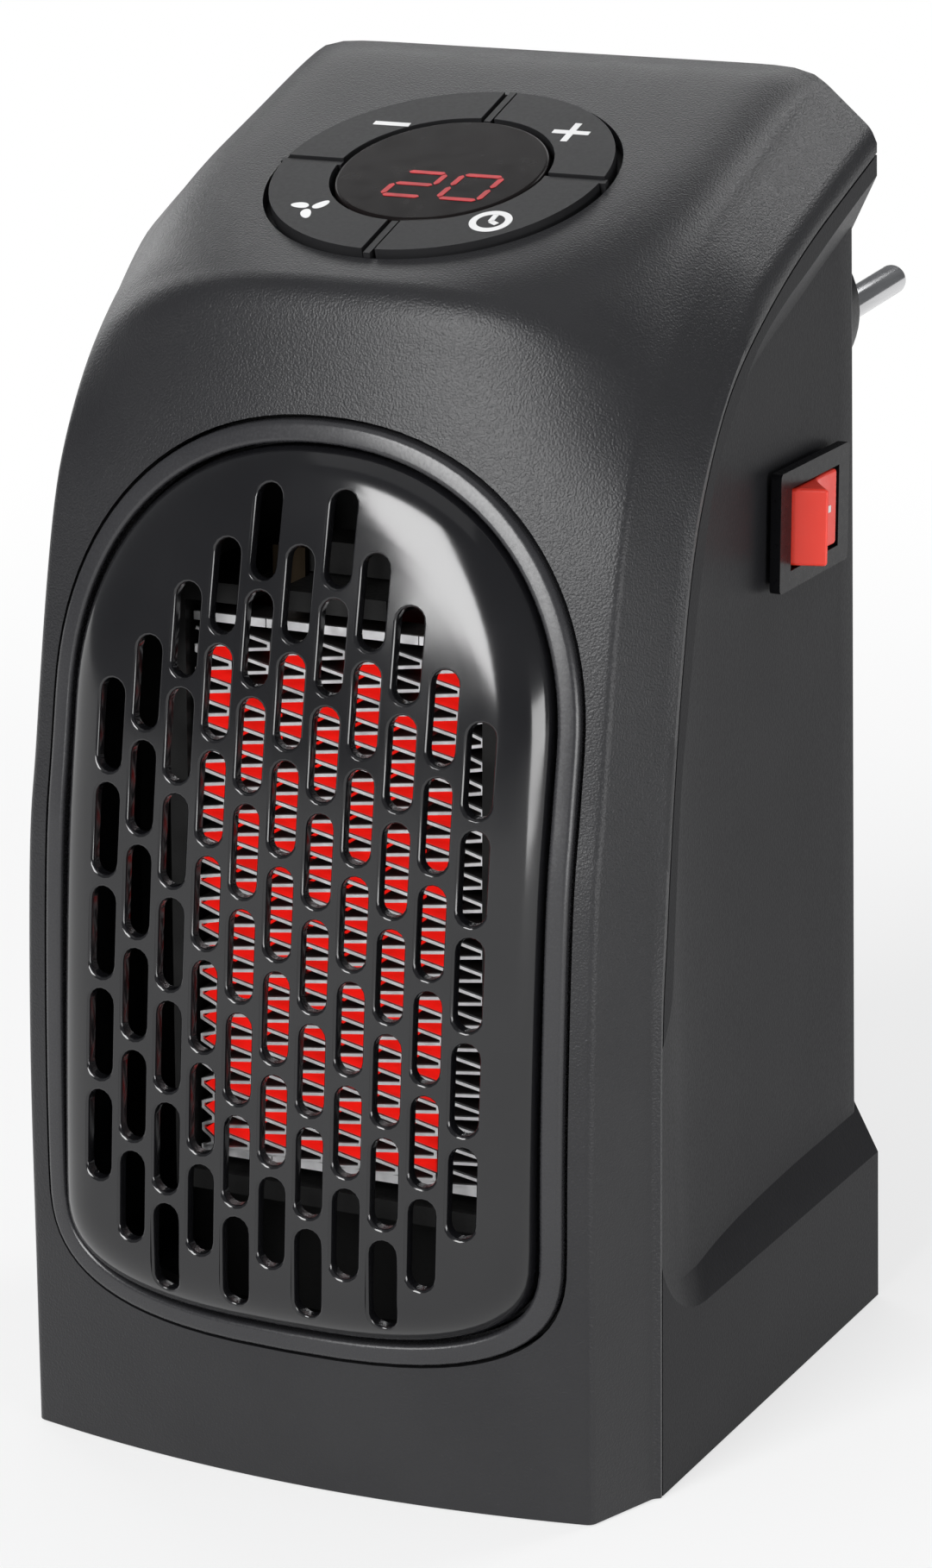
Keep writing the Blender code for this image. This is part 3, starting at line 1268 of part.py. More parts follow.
def make_rocker(frame, well, finish):
    """The rocker, turned about the vertical axis so that its front end stands out."""
    half = well[0] / 2 - FIT_GAP
    reach = math.sqrt(half**2 - ROCKER_END_RISE**2)
    outline = [
        (-reach, ROCKER_END_RISE),
        (-reach, -ROCKER_END_RISE / 2),
        (-reach / 2, -ROCKER_KEEL),
        (reach / 2, -ROCKER_KEEL),
        (reach, -ROCKER_END_RISE / 2),
        (reach, ROCKER_END_RISE),
        (0, ROCKER_MIDDLE_RISE),
    ]
    height = well[1] - 2 * FIT_GAP
    pivot = frame @ Matrix.Translation((0, 0, ROCKER_PIVOT_OUT))
    lying = Matrix.Rotation(math.pi / 2, 4, "X")
    turn = pivot @ Matrix.Rotation(ROCKER_TILT, 4, "Y") @ lying
    body = outline_mesh("switch_rocker", [outline], -height / 2, height / 2, turn)
    add_mesh("switch_rocker", body, finish, origin=pivot.translation)


# Mains plug


def plug_frame():
    """Frame on the rear face: local Z along its outward normal, local X to the right in plan."""
    lean = math.atan(REAR_LEAN)
    place = Matrix.Translation((PLUG_X, rear_y(PLUG_Z), PLUG_Z))
    return place @ Matrix.Rotation(-math.pi / 2 + lean, 4, "X")


def make_plug(finishes):
    plastic, metal = finishes
    rounding = PLUG_RADIUS - PLUG_FACE_RADIUS
    profile = [
        (0, -PLUG_HUB_LENGTH),
        (PLUG_HUB_RADIUS, -PLUG_HUB_LENGTH),
        (PLUG_HUB_RADIUS, FIT_GAP),
        (PLUG_RADIUS, FIT_GAP),
        (PLUG_RADIUS, PLUG_PROUD - rounding),
        (PLUG_FACE_RADIUS, PLUG_PROUD),
        (0, PLUG_PROUD),
    ]
    origin = PLUG_FRAME.translation
    plug = add_mesh("plug_body", turned_mesh("plug_body", profile, PLUG_FRAME), plastic, origin=origin)
    bores = []
    seat = PLUG_PROUD / 4
    for side in (-1, 1):
        place = PLUG_FRAME @ Matrix.Translation((side * PIN_SPACING / 2, 0, 0))
        bores.append(
            cylinder_mesh("bore", PIN_RADIUS + FIT_GAP, seat, PLUG_PROUD + OVERRUN, place, segments=20)
        )
        make_pin(side, place, seat + FIT_GAP, metal)
    cut(plug, merged_mesh("pin_bores", bores))
    groove = PLUG_RETAINER_THICKNESS + FIT_GAP
    low = -WALL - 2 * FIT_GAP - groove
    ring = [circle(PLUG_RETAINER_RADIUS), circle(PLUG_HUB_RADIUS + FIT_GAP)]
    top = low + PLUG_RETAINER_THICKNESS
    retainer = outline_mesh("plug_retainer", ring, low, top, PLUG_FRAME)
    add_mesh("plug_retainer", retainer, plastic, origin=origin)


def make_pin(side, place, start, finish):
    """A round mains pin with a rounded tip."""
    end = PLUG_PROUD + PIN_LENGTH
    radius = PIN_RADIUS
    profile = [(0, start), (radius, start), (radius, end - PIN_TIP_ROUNDING)]
    for i in (1, 2):
        angle = i / 3 * math.pi / 2
        profile.append(
            (
                radius - PIN_TIP_ROUNDING * (1 - math.cos(angle)),
                end - PIN_TIP_ROUNDING * (1 - math.sin(angle)),
            )
        )
    profile += [(radius - PIN_TIP_ROUNDING, end), (0, end)]
    name = "plug_pin_left" if side < 0 else "plug_pin_right"
    add_mesh(name, turned_mesh(name, profile, place, steps=16), finish, origin=PLUG_FRAME.translation)


# Screws


def make_screws(finish):
    """Self-tapping case screws in the rear posts. Threads are left plain."""
    names = ("low_left", "low_right", "high")
    for name, (x, z, joint_y) in zip(names, post_places()):
        seat = joint_y + FIT_GAP + WALL + FIT_GAP
        profile = [
            (0, joint_y - SCREW_LENGTH),
            (SCREW_RADIUS / 2, joint_y - SCREW_LENGTH),
            (SCREW_RADIUS, joint_y - SCREW_LENGTH + SCREW_RADIUS),
            (SCREW_RADIUS, seat),
            (SCREW_HEAD_RADIUS, seat),
            (SCREW_HEAD_RADIUS, seat + SCREW_HEAD_HEIGHT / 2),
            (SCREW_HEAD_RADIUS / 2, seat + SCREW_HEAD_HEIGHT),
            (0, seat + SCREW_HEAD_HEIGHT),
        ]
        add_mesh(f"case_screw_{name}", turned_mesh(name, profile, along_y(x, z), steps=12), finish)


clear_scene()
heater = new_collection("fan_heater")
cutters = new_collection("cutters")
PANEL_FRAME = panel_frame()
PLUG_FRAME = plug_frame()

housing = material("housing_black", (0.045, 0.045, 0.048), 0.55)
gloss = material("grille_gloss_black", (0.012, 0.012, 0.013), 0.12)
satin = material("key_satin_black", (0.022, 0.022, 0.024), 0.35)
smoked = material("display_smoked", (0.01, 0.008, 0.008), 0.08)
red = material("rocker_red", (0.75, 0.05, 0.03), 0.35)
plug_black = material("plug_black", (0.015, 0.015, 0.016), 0.5)
plated = material("plated_steel", (0.75, 0.75, 0.76), 0.15, 1.0)
foil = material("fin_aluminium", (0.80, 0.80, 0.82), 0.35, 1.0)
ceramic = material("ptc_bar_grey", (0.25, 0.22, 0.20), 0.7)
brass = material("terminal_brass", (0.75, 0.58, 0.28), 0.3, 1.0)
inner_plastic = material("inner_plastic", (0.03, 0.03, 0.03), 0.6)
fan_plastic = material("fan_plastic", (0.06, 0.06, 0.065), 0.5)
copper = material("motor_copper", (0.70, 0.33, 0.18), 0.4, 1.0)
board = material("circuit_board", (0.02, 0.16, 0.06), 0.5)
relay_blue = material("relay_blue", (0.03, 0.12, 0.45), 0.45)
sleeve = material("capacitor_sleeve", (0.05, 0.05, 0.09), 0.4)
display = material("display_module", (0.02, 0.02, 0.02), 0.3)
zinc = material("zinc_steel", (0.55, 0.55, 0.57), 0.35, 1.0)

front_tree = make_front_shell(housing)
make_rear_shell(housing)
make_ring(front_tree, housing)
plate_profile = make_grille(front_tree, gloss)
make_element(element_front(plate_profile), (foil, ceramic, inner_plastic, brass))
make_bulkhead(inner_plastic)
make_fan((inner_plastic, fan_plastic, copper))
make_power_board((board, relay_blue, sleeve, zinc))
make_bezel(satin)
make_keys(satin)
make_control_board((board, inner_plastic, display, smoked))
make_switch((plug_black, red, brass))
make_plug((plug_black, plated))
make_screws(zinc)
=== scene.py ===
from math import asin, atan, atan2, cos, pi, radians, sin, sqrt

import bmesh
import bpy
import numpy as np
from mathutils import Matrix, Vector
from mathutils.bvhtree import BVHTree


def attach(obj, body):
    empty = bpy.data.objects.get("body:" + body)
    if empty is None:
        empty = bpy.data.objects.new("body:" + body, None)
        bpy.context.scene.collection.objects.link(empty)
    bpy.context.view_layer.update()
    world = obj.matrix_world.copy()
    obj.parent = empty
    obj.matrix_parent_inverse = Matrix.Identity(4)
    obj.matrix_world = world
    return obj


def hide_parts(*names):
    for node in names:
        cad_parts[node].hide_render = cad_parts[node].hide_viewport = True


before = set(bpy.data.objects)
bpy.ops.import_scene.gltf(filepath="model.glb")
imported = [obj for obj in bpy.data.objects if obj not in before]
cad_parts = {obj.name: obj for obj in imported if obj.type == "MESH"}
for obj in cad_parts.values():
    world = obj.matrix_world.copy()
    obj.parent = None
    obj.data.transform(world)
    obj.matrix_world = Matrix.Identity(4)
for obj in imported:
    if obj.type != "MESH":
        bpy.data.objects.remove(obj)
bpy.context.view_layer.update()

# The photograph's camera
PHOTO_HEIGHT = 1818
CAMERA_FOCAL_PIXELS = 5677.87
CAMERA_PLACE = (0.26360, -0.54987, 0.24978)
CAMERA_AZIMUTH = radians(25.42)
CAMERA_ELEVATION = radians(15.596)
SENSOR_HEIGHT = 36

# Marks on the control panel, in its own plane
DIGIT_PLACES = ((-0.0018, -0.0044), (0.0059, -0.0043))
DIGIT_WIDTH = 0.0054
DIGIT_HEIGHT = 0.0064
DIGIT_STROKE = 0.00075
DIGIT_END_GAP = 1.5
DIGIT_SLANT = 0.12
# Both ends of each stroke of a seven-segment digit, in half widths and half heights
DIGIT_STROKES = {
    "a": ((-1, 1), (1, 1)), "b": ((1, 0), (1, 1)), "c": ((1, -1), (1, 0)), "d": ((-1, -1), (1, -1)),
    "e": ((-1, -1), (-1, 0)), "f": ((-1, 0), (-1, 1)), "g": ((-1, 0), (1, 0)),
}
MARK_HEIGHT = 0.00006
MINUS_PLACE = (-0.0120, 0.0110)
PLUS_PLACE = (0.0126, 0.0119)
SPEED_PLACE = (-0.0124, -0.0127)
TIMER_PLACE = (0.0124, -0.0127)
SIGN_LENGTH = 0.0050
SIGN_WIDTH = 0.0009
ICON_RADIUS = 0.0027
# The fan icon's petals and the clock icon's hands, in icon radii
PETAL_CENTRE = 0.56
PETAL_REACH = (0.42, 0.27)
PETAL_BEND = 0.30
CLOCK_HANDS = ((0.62, pi / 2), (0.45, -pi / 6))
CLOCK_HAND_WIDTH_SHARE = 0.8
SWITCH_MARK = 0.0034

# Finer steps of the visible pieces
ROW_SHARES = tuple(i / 110 for i in range(111))
COLUMN_SHARES = tuple(0.955 - 0.0735 * i for i in range(13))
HOOD_STATIONS = 17
ROLL_STEPS = 12
DOME_RINGS = 22
ROCKER_FACE_STEPS = 24
PETAL_STEPS = 20
# Quarter round that opens each slot of the grille to the front
MOUTH_RADIUS = 0.00052
MOUTH_START = radians(18)
MOUTH_STEPS = 5

# Foils of the element, one behind each column of slots. They lean about one height.
FOIL_CENTRE = -0.0020
FOIL_PITCH = 0.00523
FOIL_LEAN = 0.055
FOIL_LEAN_Z = 0.091
LEAF_EDGE = 0.0004
# Where a normal's X and Z mark a leaf that rises to the right and gets the painted glow: limit and softness
RISING_X = (0.03, 0.01)
RISING_Z = (0.5, 0.1)

# Painted red glow on the foils, which are no lamp. Every second foil's glow ends lower at the top.
PAINTED_GLOW_X = (-0.0240, 0.0163)
PAINTED_GLOW_TOP = 0.1040
PAINTED_GLOW_TOP_LOWER = 0.0978
PAINTED_GLOW_SOFT = 0.0003
# The painted glow's bounds shift sideways by this share of the depth behind the foils' front
PAINTED_GLOW_SLANT = 0.50
PAINTED_GLOW_COLOUR = (0.80, 0.010, 0.006)
PAINTED_GLOW_STRENGTH = 1.0

# The range of a noise texture that shows in colours, gloss and strength, and noise scales per metre
NOISE_RANGE = (0.3, 0.7)
PLASTIC_DRIFT = 60.0
METAL_STREAKS = 900.0
FOIL_STREAKS = 700.0
# Scale of the patches that make the painted glow uneven
PAINTED_GLOW_PATCHES = 260.0
DIGIT_PATCHES = 500.0
FLOOR_DRIFT = 3.0

# Stage
FLOOR_RADIUS = 6.0
FLOOR_DROP = 0.0002
FLOOR_LOW = (0.80, 0.80, 0.80)
FLOOR_HIGH = (0.84, 0.84, 0.84)
FLOOR_WHITE_SHARE = 0.65
FLOOR_FADE = (0.15, 0.60)
WORLD_COLOUR = (0.95, 0.97, 1.0)
WORLD_STRENGTH = 0.20
# Name, place, point it is turned to, size and watts of each soft lamp
LAMPS = (
    ("front_lamp", (-0.09, -0.92, 0.56), (0, 0, 0.11), (0.42, 0.70), 12),
    ("back_lamp", (-0.30, 0.86, 0.72), (0, 0, 0.16), (0.9, 0.2), 2.1),
    ("corner_lamp", (0.44, 0.68, 0.88), (0.04, 0, 0.16), (0.3, 0.3), 2.6),
    ("top_lamp", (0.0, 0.0, 1.25), (0, 0, 0.1), (1.2, 1.2), 1.5),
    ("side_lamp", (0.95, -0.36, 0.10), (0, 0, 0.06), (0.60, 0.30), 4.5),
    ("rim_lamp", (-0.95, 0.62, 0.50), (0, 0, 0.09), (0.3, 0.6), 2.0),
)

# Overall sizes
BODY_WIDTH = 0.087
BODY_DEPTH = 0.0919
BODY_HEIGHT = 0.170
WALL = 0.002
FIT_GAP = 0.0003
OVERRUN = 0.004
MERGE_DISTANCE = 0.000001

# Housing outlines: (share of the depth from the front, share of the height), bottom to top
CENTRE_SHARES = (
    (0.0, 0.0), (-0.013, 0.129), (-0.018, 0.253), (-0.007, 0.388), (0.017, 0.524), (0.052, 0.635),
    (0.100, 0.747), (0.124, 0.800), (0.148, 0.852), (0.160, 0.871), (0.181, 0.882), (0.215, 0.887),
    (0.383, 0.917), (0.601, 0.957), (0.800, 0.993), (0.880, 1.0),
)
CREASE_SHARES = (
    (0.049, 0.0), (0.045, 0.129), (0.041, 0.294), (0.052, 0.453), (0.074, 0.529), (0.110, 0.644),
    (0.143, 0.718), (0.188, 0.771), (0.251, 0.818), (0.343, 0.861), (0.490, 0.908), (0.703, 0.952),
    (0.880, 0.988),
)
EDGE_SHARES = (
    (0.164, 0.0), (0.147, 0.359), (0.161, 0.524), (0.196, 0.633), (0.224, 0.692), (0.263, 0.749),
    (0.333, 0.798), (0.453, 0.862), (0.536, 0.886), (0.690, 0.919), (0.880, 0.956),
)
SEAM_SHARES = (
    (0.176, 0.0), (0.160, 0.329), (0.171, 0.435), (0.187, 0.524), (0.208, 0.606), (0.240, 0.688),
    (0.286, 0.747), (0.359, 0.802), (0.466, 0.844), (0.629, 0.888), (0.880, 0.938),
)
# Half widths of the crease and the edge along their length, as shares of half the body width
CREASE_WIDTH_SHARES = ((0.0, 0.899), (0.35, 0.893), (0.6, 0.886), (0.75, 0.868), (1.0, 0.842))
EDGE_WIDTH_SHARE = 0.982
# The part of the way from the seam to the edge on which the side stays flat
SEAM_FLAT_SHARE = 0.4
# How square the front and top are across their width, along their length
CROWN_POWER_SHARES = (
    (0.0, 2.0), (0.60, 2.0), (0.66, 2.3), (0.70, 3.2), (0.74, 5.5), (0.79, 9.0), (0.85, 13.0), (1.0, 16.0),
)
CREASE_RADIUS = 0.0022
EDGE_RADIUS = 0.0014
CORNER_SHARE = 0.45
REAR_LEAN = 0.0664

# Side recess of the rear shell
PANEL_HALF_WIDTH = 0.0406
PANEL_PLAN_SHARES = ((0.165, 1.0), (0.25, 0.70), (0.34, 0.38), (0.49, 0.15), (0.71, 0.03), (0.96, 0.0))
HOOD_SHARES = (
    (0.150, 0.340), (0.184, 0.353), (0.210, 0.518), (0.230, 0.579), (0.257, 0.651), (0.297, 0.722),
    (0.337, 0.767), (0.378, 0.788), (0.479, 0.835), (0.631, 0.869), (0.800, 0.904), (1.02, 0.945),
)
REBATE_LAND = 0.0011
REBATE_DEPTH = 0.0012
RECESS_FLOOR = 0.0214
RECESS_CORNER = 0.016
RECESS_SLOPE = 2.0
REAR_CORNER_RADIUS = 0.0018

# Outlet opening, trim ring and grille plate
OPENING_HALF_WIDTH = 0.0362
OPENING_LOW_CENTRE = 0.036
OPENING_HIGH_CENTRE = 0.097
OPENING_LOW_REACH = 0.018
OPENING_HIGH_REACH = 0.0373
OPENING_LOW_POWER = 3.1
OPENING_HIGH_POWER = 2.15
RING_WIDTH = 0.0027
RING_GROOVE = 0.0005
RING_PROUD = 0.0008
RING_ROUNDING = 0.0007
FLANGE_OVERLAP = 0.001
GRILLE_WALL = 0.0016
GRILLE_RIM_DROP = 0.0006
GRILLE_FILLET = 0.0072
GRILLE_CROWN = 0.0024
GRILLE_PROFILE_SHARES = (
    (-0.063, 0.09), (-0.063, 0.135), (-0.052, 0.257), (-0.032, 0.409), (-0.008, 0.524), (0.025, 0.635),
    (0.069, 0.747), (0.090, 0.800),
)
SLOT_PITCH_X = 0.005
SLOT_PITCH_Z = 0.01296
SLOT_FIRST_ROW = 0.04365
SLOT_LENGTH = 0.0114
SLOT_WIDTH = 0.0035
SLOT_STAGGER_SHARE = -0.546
# First and last row of each column, from the centre column outwards
SLOT_ROWS = ((0, 6), (-1, 6), (0, 6), (-1, 5), (0, 5), (0, 4))

# Heating element and its frame
ELEMENT_WIDTH = 0.040
ELEMENT_HEIGHT = 0.074
ELEMENT_DEPTH = 0.014
ELEMENT_CENTRE_Z = 0.072
ELEMENT_BEHIND_GRILLE = 0.0168
FIN_PITCH = 0.0029
FIN_THICKNESS = 0.0004
FIN_TILT = 0.0003
FIN_BEND = 0.0007
FIN_END_MARGIN = 0.0015
FIN_END_PLATE = 0.0011
FIN_FRONT_DEPTH = 0.006
PTC_BAR_X = 0.010
PTC_BAR_WIDTH = 0.0022

# Control panel on the sloping top
PANEL_DEPTH_SHARE = 0.478
CONTROL_RADIUS = 0.0224
DISPLAY_RADIUS = 0.0131
COLLAR_WIDTH = 0.0008
DIVIDER_WIDTH = 0.0012
KEY_GROOVE = 0.0006
KEY_PROUD = 0.0009
KEY_THICKNESS = 0.0021
KEY_TRAVEL = 0.0006
KEY_STEM_RADIUS = 0.0015
BEZEL_FLANGE = 0.0012
BEZEL_REACH = 0.0022
DISPLAY_THICKNESS = 0.0015
DIVIDER_DROP = 0.00025
LENS_PROUD = 0.0008
CONTROL_BOARD_DROP = 0.0095
TACT_HEIGHT = 0.0030
TACT_BUTTON_HEIGHT = 0.00085
BOARD_POST_RADIUS = 0.0018

# Rocker switch on the right side
SWITCH_Y = 0.018
SWITCH_Z = 0.1153
SWITCH_LENGTH = 0.0235
SWITCH_HEIGHT = 0.0154
SWITCH_PROUD = 0.0022
SWITCH_END_RIM = 0.0022
SWITCH_SIDE_RIM = 0.001
SWITCH_BODY_DEPTH = 0.0135
SWITCH_BODY_WALL = 0.0014
# Length and height of the part that goes through the panel, and of the well that the rocker moves in
SWITCH_BODY = (SWITCH_LENGTH - 2 * SWITCH_END_RIM, SWITCH_HEIGHT - 2 * SWITCH_SIDE_RIM)
SWITCH_WELL = tuple(size - 2 * SWITCH_BODY_WALL for size in SWITCH_BODY)
ROCKER_TILT = radians(17)
ROCKER_PIVOT_OUT = 0.0004
ROCKER_END_RISE = 0.00395
ROCKER_MIDDLE_RISE = 0.0019
ROCKER_KEEL = 0.0062
ROCKER_HOLLOW_POWER = 1.3
ROCKER_MARK_LEAN_SHARE = 1.05

# Swivelling mains plug at the rear
PLUG_X = 0.0262
PLUG_Z = 0.1366
PLUG_RADIUS = 0.0119
PLUG_PROUD = 0.008
PLUG_FACE_RADIUS = 0.0117
PLUG_HUB_RADIUS = 0.0075
PLUG_HUB_LENGTH = 0.005
PIN_RADIUS = 0.002
PIN_LENGTH = 0.019
PIN_SPACING = 0.019
PIN_TIP_ROUNDING = 0.0012

# Case screws, two low and one high beside the plug: (x, z, y of the joint between front and rear post)
SCREW_PLACES = ((-0.0335, 0.0125, -0.0165), (0.0335, 0.0125, -0.0165), (-0.020, 0.1355, 0.0065))
SCREW_RADIUS = 0.0013
SCREW_HEAD_RADIUS = 0.0026
SCREW_LENGTH = 0.009
POST_RADIUS = 0.0037
FRONT_POST_RADIUS = 0.0032

# Intake slots in the rear wall
INTAKE_SLOT_WIDTH = 0.0026
INTAKE_SLOT_PITCH = 0.0055
INTAKE_HALF_WIDTH = 0.024
INTAKE_LOW_Z = 0.040
INTAKE_HIGH_Z = 0.104

FACING_FRONT = Matrix.Rotation(pi / 2, 4, "X")
# Local X along +Y, local Y up, local Z to the right
FACING_SIDE = Matrix(((0, 0, 1, 0), (1, 0, 0, 0), (0, 1, 0, 0), (0, 0, 0, 1)))


# Shape helpers


def mesh_from(name, bm, place=None):
    """The built shape as a mesh, moved by a matrix if one is given."""
    if place is not None:
        bmesh.ops.transform(bm, matrix=place, verts=bm.verts)
    mesh = bpy.data.meshes.new(name)
    bm.to_mesh(mesh)
    bm.free()
    return mesh


def linked(name, data):
    """A new object in the scene."""
    obj = bpy.data.objects.new(name, data)
    bpy.context.scene.collection.objects.link(obj)
    return obj


def modify(obj, name, kind, **settings):
    modifier = obj.modifiers.new(name, kind)
    for key, value in settings.items():
        setattr(modifier, key, value)


def applied(*objects):
    """The first object's mesh with its modifiers applied. All the objects are removed."""
    graph = bpy.context.evaluated_depsgraph_get()
    mesh = bpy.data.meshes.new_from_object(objects[0].evaluated_get(graph))
    for obj in objects:
        bpy.data.objects.remove(obj)
    return mesh


def solid(mesh, *steps):
    """The mesh after exact Booleans, each an operation and the mesh it works with."""
    objects = [linked("work", mesh)]
    for operation, tool in steps:
        objects.append(linked("work", tool))
        modify(objects[0], operation, "BOOLEAN", operation=operation, solver="EXACT", object=objects[-1])
    return applied(*objects)


def walled(mesh, thickness):
    """An open sheet thickened inwards."""
    obj = linked("work", mesh)
    modify(obj, "wall", "SOLIDIFY", thickness=thickness, offset=-1, use_quality_normals=True)
    return applied(obj)


def move(x, y, z):
    return Matrix.Translation((x, y, z))


def rotate(angle, axis):
    return Matrix.Rotation(angle, 4, axis)


def box(name, size, centre, turn=Matrix()):
    bm = bmesh.new()
    bmesh.ops.create_cube(bm, size=1)
    return mesh_from(name, bm, turn @ move(*centre) @ Matrix.Diagonal((*size, 1)))


def cylinder(name, radius, low, high, turn=Matrix(), segments=64):
    """A cylinder from low to high along the local Z axis."""
    bm = bmesh.new()
    bmesh.ops.create_cone(
        bm, cap_ends=True, segments=segments, radius1=radius, radius2=radius, depth=high - low
    )
    return mesh_from(name, bm, turn @ move(0, 0, (low + high) / 2))


def skin(bm, rings):
    """Joins each ring of vertices to the next one with four-sided faces."""
    for lower, upper in zip(rings, rings[1:]):
        for i in range(len(lower)):
            j = (i + 1) % len(lower)
            bm.faces.new((lower[i], lower[j], upper[j], upper[i]))


def loft(name, rings, closed=False):
    """Skins rings of equal counts. An open loft gets end caps, a closed one joins its last ring to its first."""
    bm = bmesh.new()
    levels = [[bm.verts.new(point) for point in ring] for ring in rings]
    skin(bm, [*levels, levels[0]] if closed else levels)
    if not closed:
        bm.faces.new(levels[0])
        bm.faces.new(levels[-1])
    bmesh.ops.recalc_face_normals(bm, faces=bm.faces)
    return mesh_from(name, bm)


def extruded(name, loops, low, high, turn=Matrix()):
    """A flat outline, with any holes as further loops, extruded from low to high along the local Z axis."""
    curve = bpy.data.curves.new(name, "CURVE")
    curve.dimensions = "2D"
    curve.fill_mode = "BOTH"
    curve.extrude = (high - low) / 2
    for loop in loops:
        spline = curve.splines.new("POLY")
        spline.points.add(len(loop) - 1)
        for point, (x, y) in zip(spline.points, loop):
            point.co = (x, y, 0, 1)
        spline.use_cyclic_u = True
    bm = bmesh.new()
    bm.from_mesh(applied(linked(name, curve)))
    bmesh.ops.remove_doubles(bm, verts=bm.verts, dist=MERGE_DISTANCE)
    bmesh.ops.transform(bm, matrix=turn @ move(0, 0, (low + high) / 2), verts=bm.verts)
    bmesh.ops.recalc_face_normals(bm, faces=bm.faces)
    return mesh_from(name, bm)


def turned(name, profile, turn=Matrix(), steps=64):
    """A closed solid turned about the local Z axis from (radius, height) points that start and end on it."""
    rings = [[(*place, height) for place in circle(radius, steps=steps)] for radius, height in profile[1:-1]]
    mesh = loft(name, rings)
    mesh.transform(turn)
    return mesh


def merged(name, meshes):
    """Separate closed bodies gathered in one mesh, for one Boolean."""
    bm = bmesh.new()
    for mesh in meshes:
        bm.from_mesh(mesh)
        bpy.data.meshes.remove(mesh)
    return mesh_from(name, bm)


# Outlines and curves


def polar(radius, angle):
    return Vector((radius * cos(angle), radius * sin(angle)))


def quarter_turn(steps):
    """The sine and cosine at even steps from 0 to 90 degrees."""
    angles = [i / steps * pi / 2 for i in range(steps + 1)]
    return [(sin(angle), cos(angle)) for angle in angles]


def rectangle(width, height, centre=(0, 0), radius=0.0, steps=6):
    """A rectangle's points, counter-clockwise, with rounded corners where a radius is given."""
    points = []
    for quarter, (sx, sy) in enumerate(((1, 1), (-1, 1), (-1, -1), (1, -1))):
        corner = Vector((sx * (width / 2 - radius), sy * (height / 2 - radius))) + Vector(centre)
        arc = [(quarter + i / steps) * pi / 2 for i in range(steps + 1)] if radius else [0]
        points += [corner + radius * polar(1, angle) for angle in arc]
    return points


def slot_outline(width, height, centre, steps=8):
    """An upright slot's points, with half-round ends."""
    points = []
    for end in (1, -1):
        for i in range(steps + 1):
            arc = width / 2 * polar(1, i / steps * pi)
            points.append(Vector(centre) + end * (arc + Vector((0, (height - width) / 2))))
    return points


def circle(radius, centre=(0, 0), steps=72):
    angles = [2 * pi * i / steps for i in range(steps)]
    return [Vector((centre[0] + radius * cos(a), centre[1] + radius * sin(a))) for a in angles]


def bar(centre, length, width, angle=0.0):
    """A turned rectangle's points."""
    turn = Matrix.Rotation(angle, 2)
    corners = ((-1, -1), (1, -1), (1, 1), (-1, 1))
    return [Vector(centre) + turn @ Vector((sx * length / 2, sy * width / 2)) for sx, sy in corners]


def sector(inner, outer, quarter, gap, steps=28):
    """A quarter of a ring, kept clear of the dividers that run along the local axes."""
    points = []
    for radius, order in ((outer, range(steps + 1)), (inner, range(steps, -1, -1))):
        start = asin(gap / radius)
        for i in order:
            points.append(polar(radius, quarter * pi / 2 + start + (pi / 2 - 2 * start) * i / steps))
    return points


def smooth_curve(points, steps=16):
    """A Catmull-Rom curve through the points."""
    points = [np.array(point, float) for point in points]
    points = [2 * points[0] - points[1], *points, 2 * points[-1] - points[-2]]
    curve = [points[1]]
    for a, b, c, d in zip(points, points[1:], points[2:], points[3:]):
        square, cube = 2 * a - 5 * b + 4 * c - d, 3 * b - a - 3 * c + d
        for t in (i / steps for i in range(1, steps + 1)):
            curve.append(0.5 * (2 * b + (c - a) * t + square * t**2 + cube * t**3))
    return np.array(curve)


def lengths_along(curve):
    """The length of the curve up to each of its points."""
    return np.concatenate([[0], np.cumsum(np.linalg.norm(np.diff(curve, axis=0), axis=1))])


def at_shares(curve, shares):
    """Points of a curve at shares of its length."""
    lengths = lengths_along(curve)
    places = np.array(shares) * lengths[-1]
    return np.stack([np.interp(places, lengths, curve[:, k]) for k in range(curve.shape[1])], axis=1)


def offset_path(path, distance):
    """An open path moved sideways, to its right as it is followed."""
    directions = np.gradient(path, axis=0)
    directions /= np.linalg.norm(directions, axis=1)[:, None]
    return path + np.stack([directions[:, 1], -directions[:, 0]], axis=1) * distance


def thick_path(points, thickness):
    """A closed outline at half the thickness on both sides of an open path, mitred at its corners."""
    steps = np.diff(points, axis=0)
    steps /= np.linalg.norm(steps, axis=1)[:, None]
    normals = np.stack([-steps[:, 1], steps[:, 0]], axis=1)
    before = np.vstack([normals[:1], normals])
    after = np.vstack([normals, normals[-1:]])
    mitre = before + after
    mitre /= (1 + np.sum(before * after, axis=1))[:, None]
    side = mitre * thickness / 2
    return [tuple(p) for p in points + side] + [tuple(p) for p in (points - side)[::-1]]


def rounded_corner(before, corner, after, radius, steps):
    """Points of a curve that rounds the corner, within CORNER_SHARE of the two sides that meet there."""
    reach = min(radius, CORNER_SHARE * (before - corner).length, CORNER_SHARE * (after - corner).length)
    start = corner + (before - corner).normalized() * reach
    end = corner + (after - corner).normalized() * reach
    shares = [i / steps for i in range(steps + 1)]
    return [(1 - s) ** 2 * start + 2 * s * (1 - s) * corner + s**2 * end for s in shares]


# Places on the body


def rear_y(z):
    """The rear face leans forward as it rises."""
    return BODY_DEPTH / 2 - REAR_LEAN * z


def side_points(table):
    """(y, z) places from shares of the depth and the height."""
    return [((depth - 0.5) * BODY_DEPTH, height * BODY_HEIGHT) for depth, height in table]


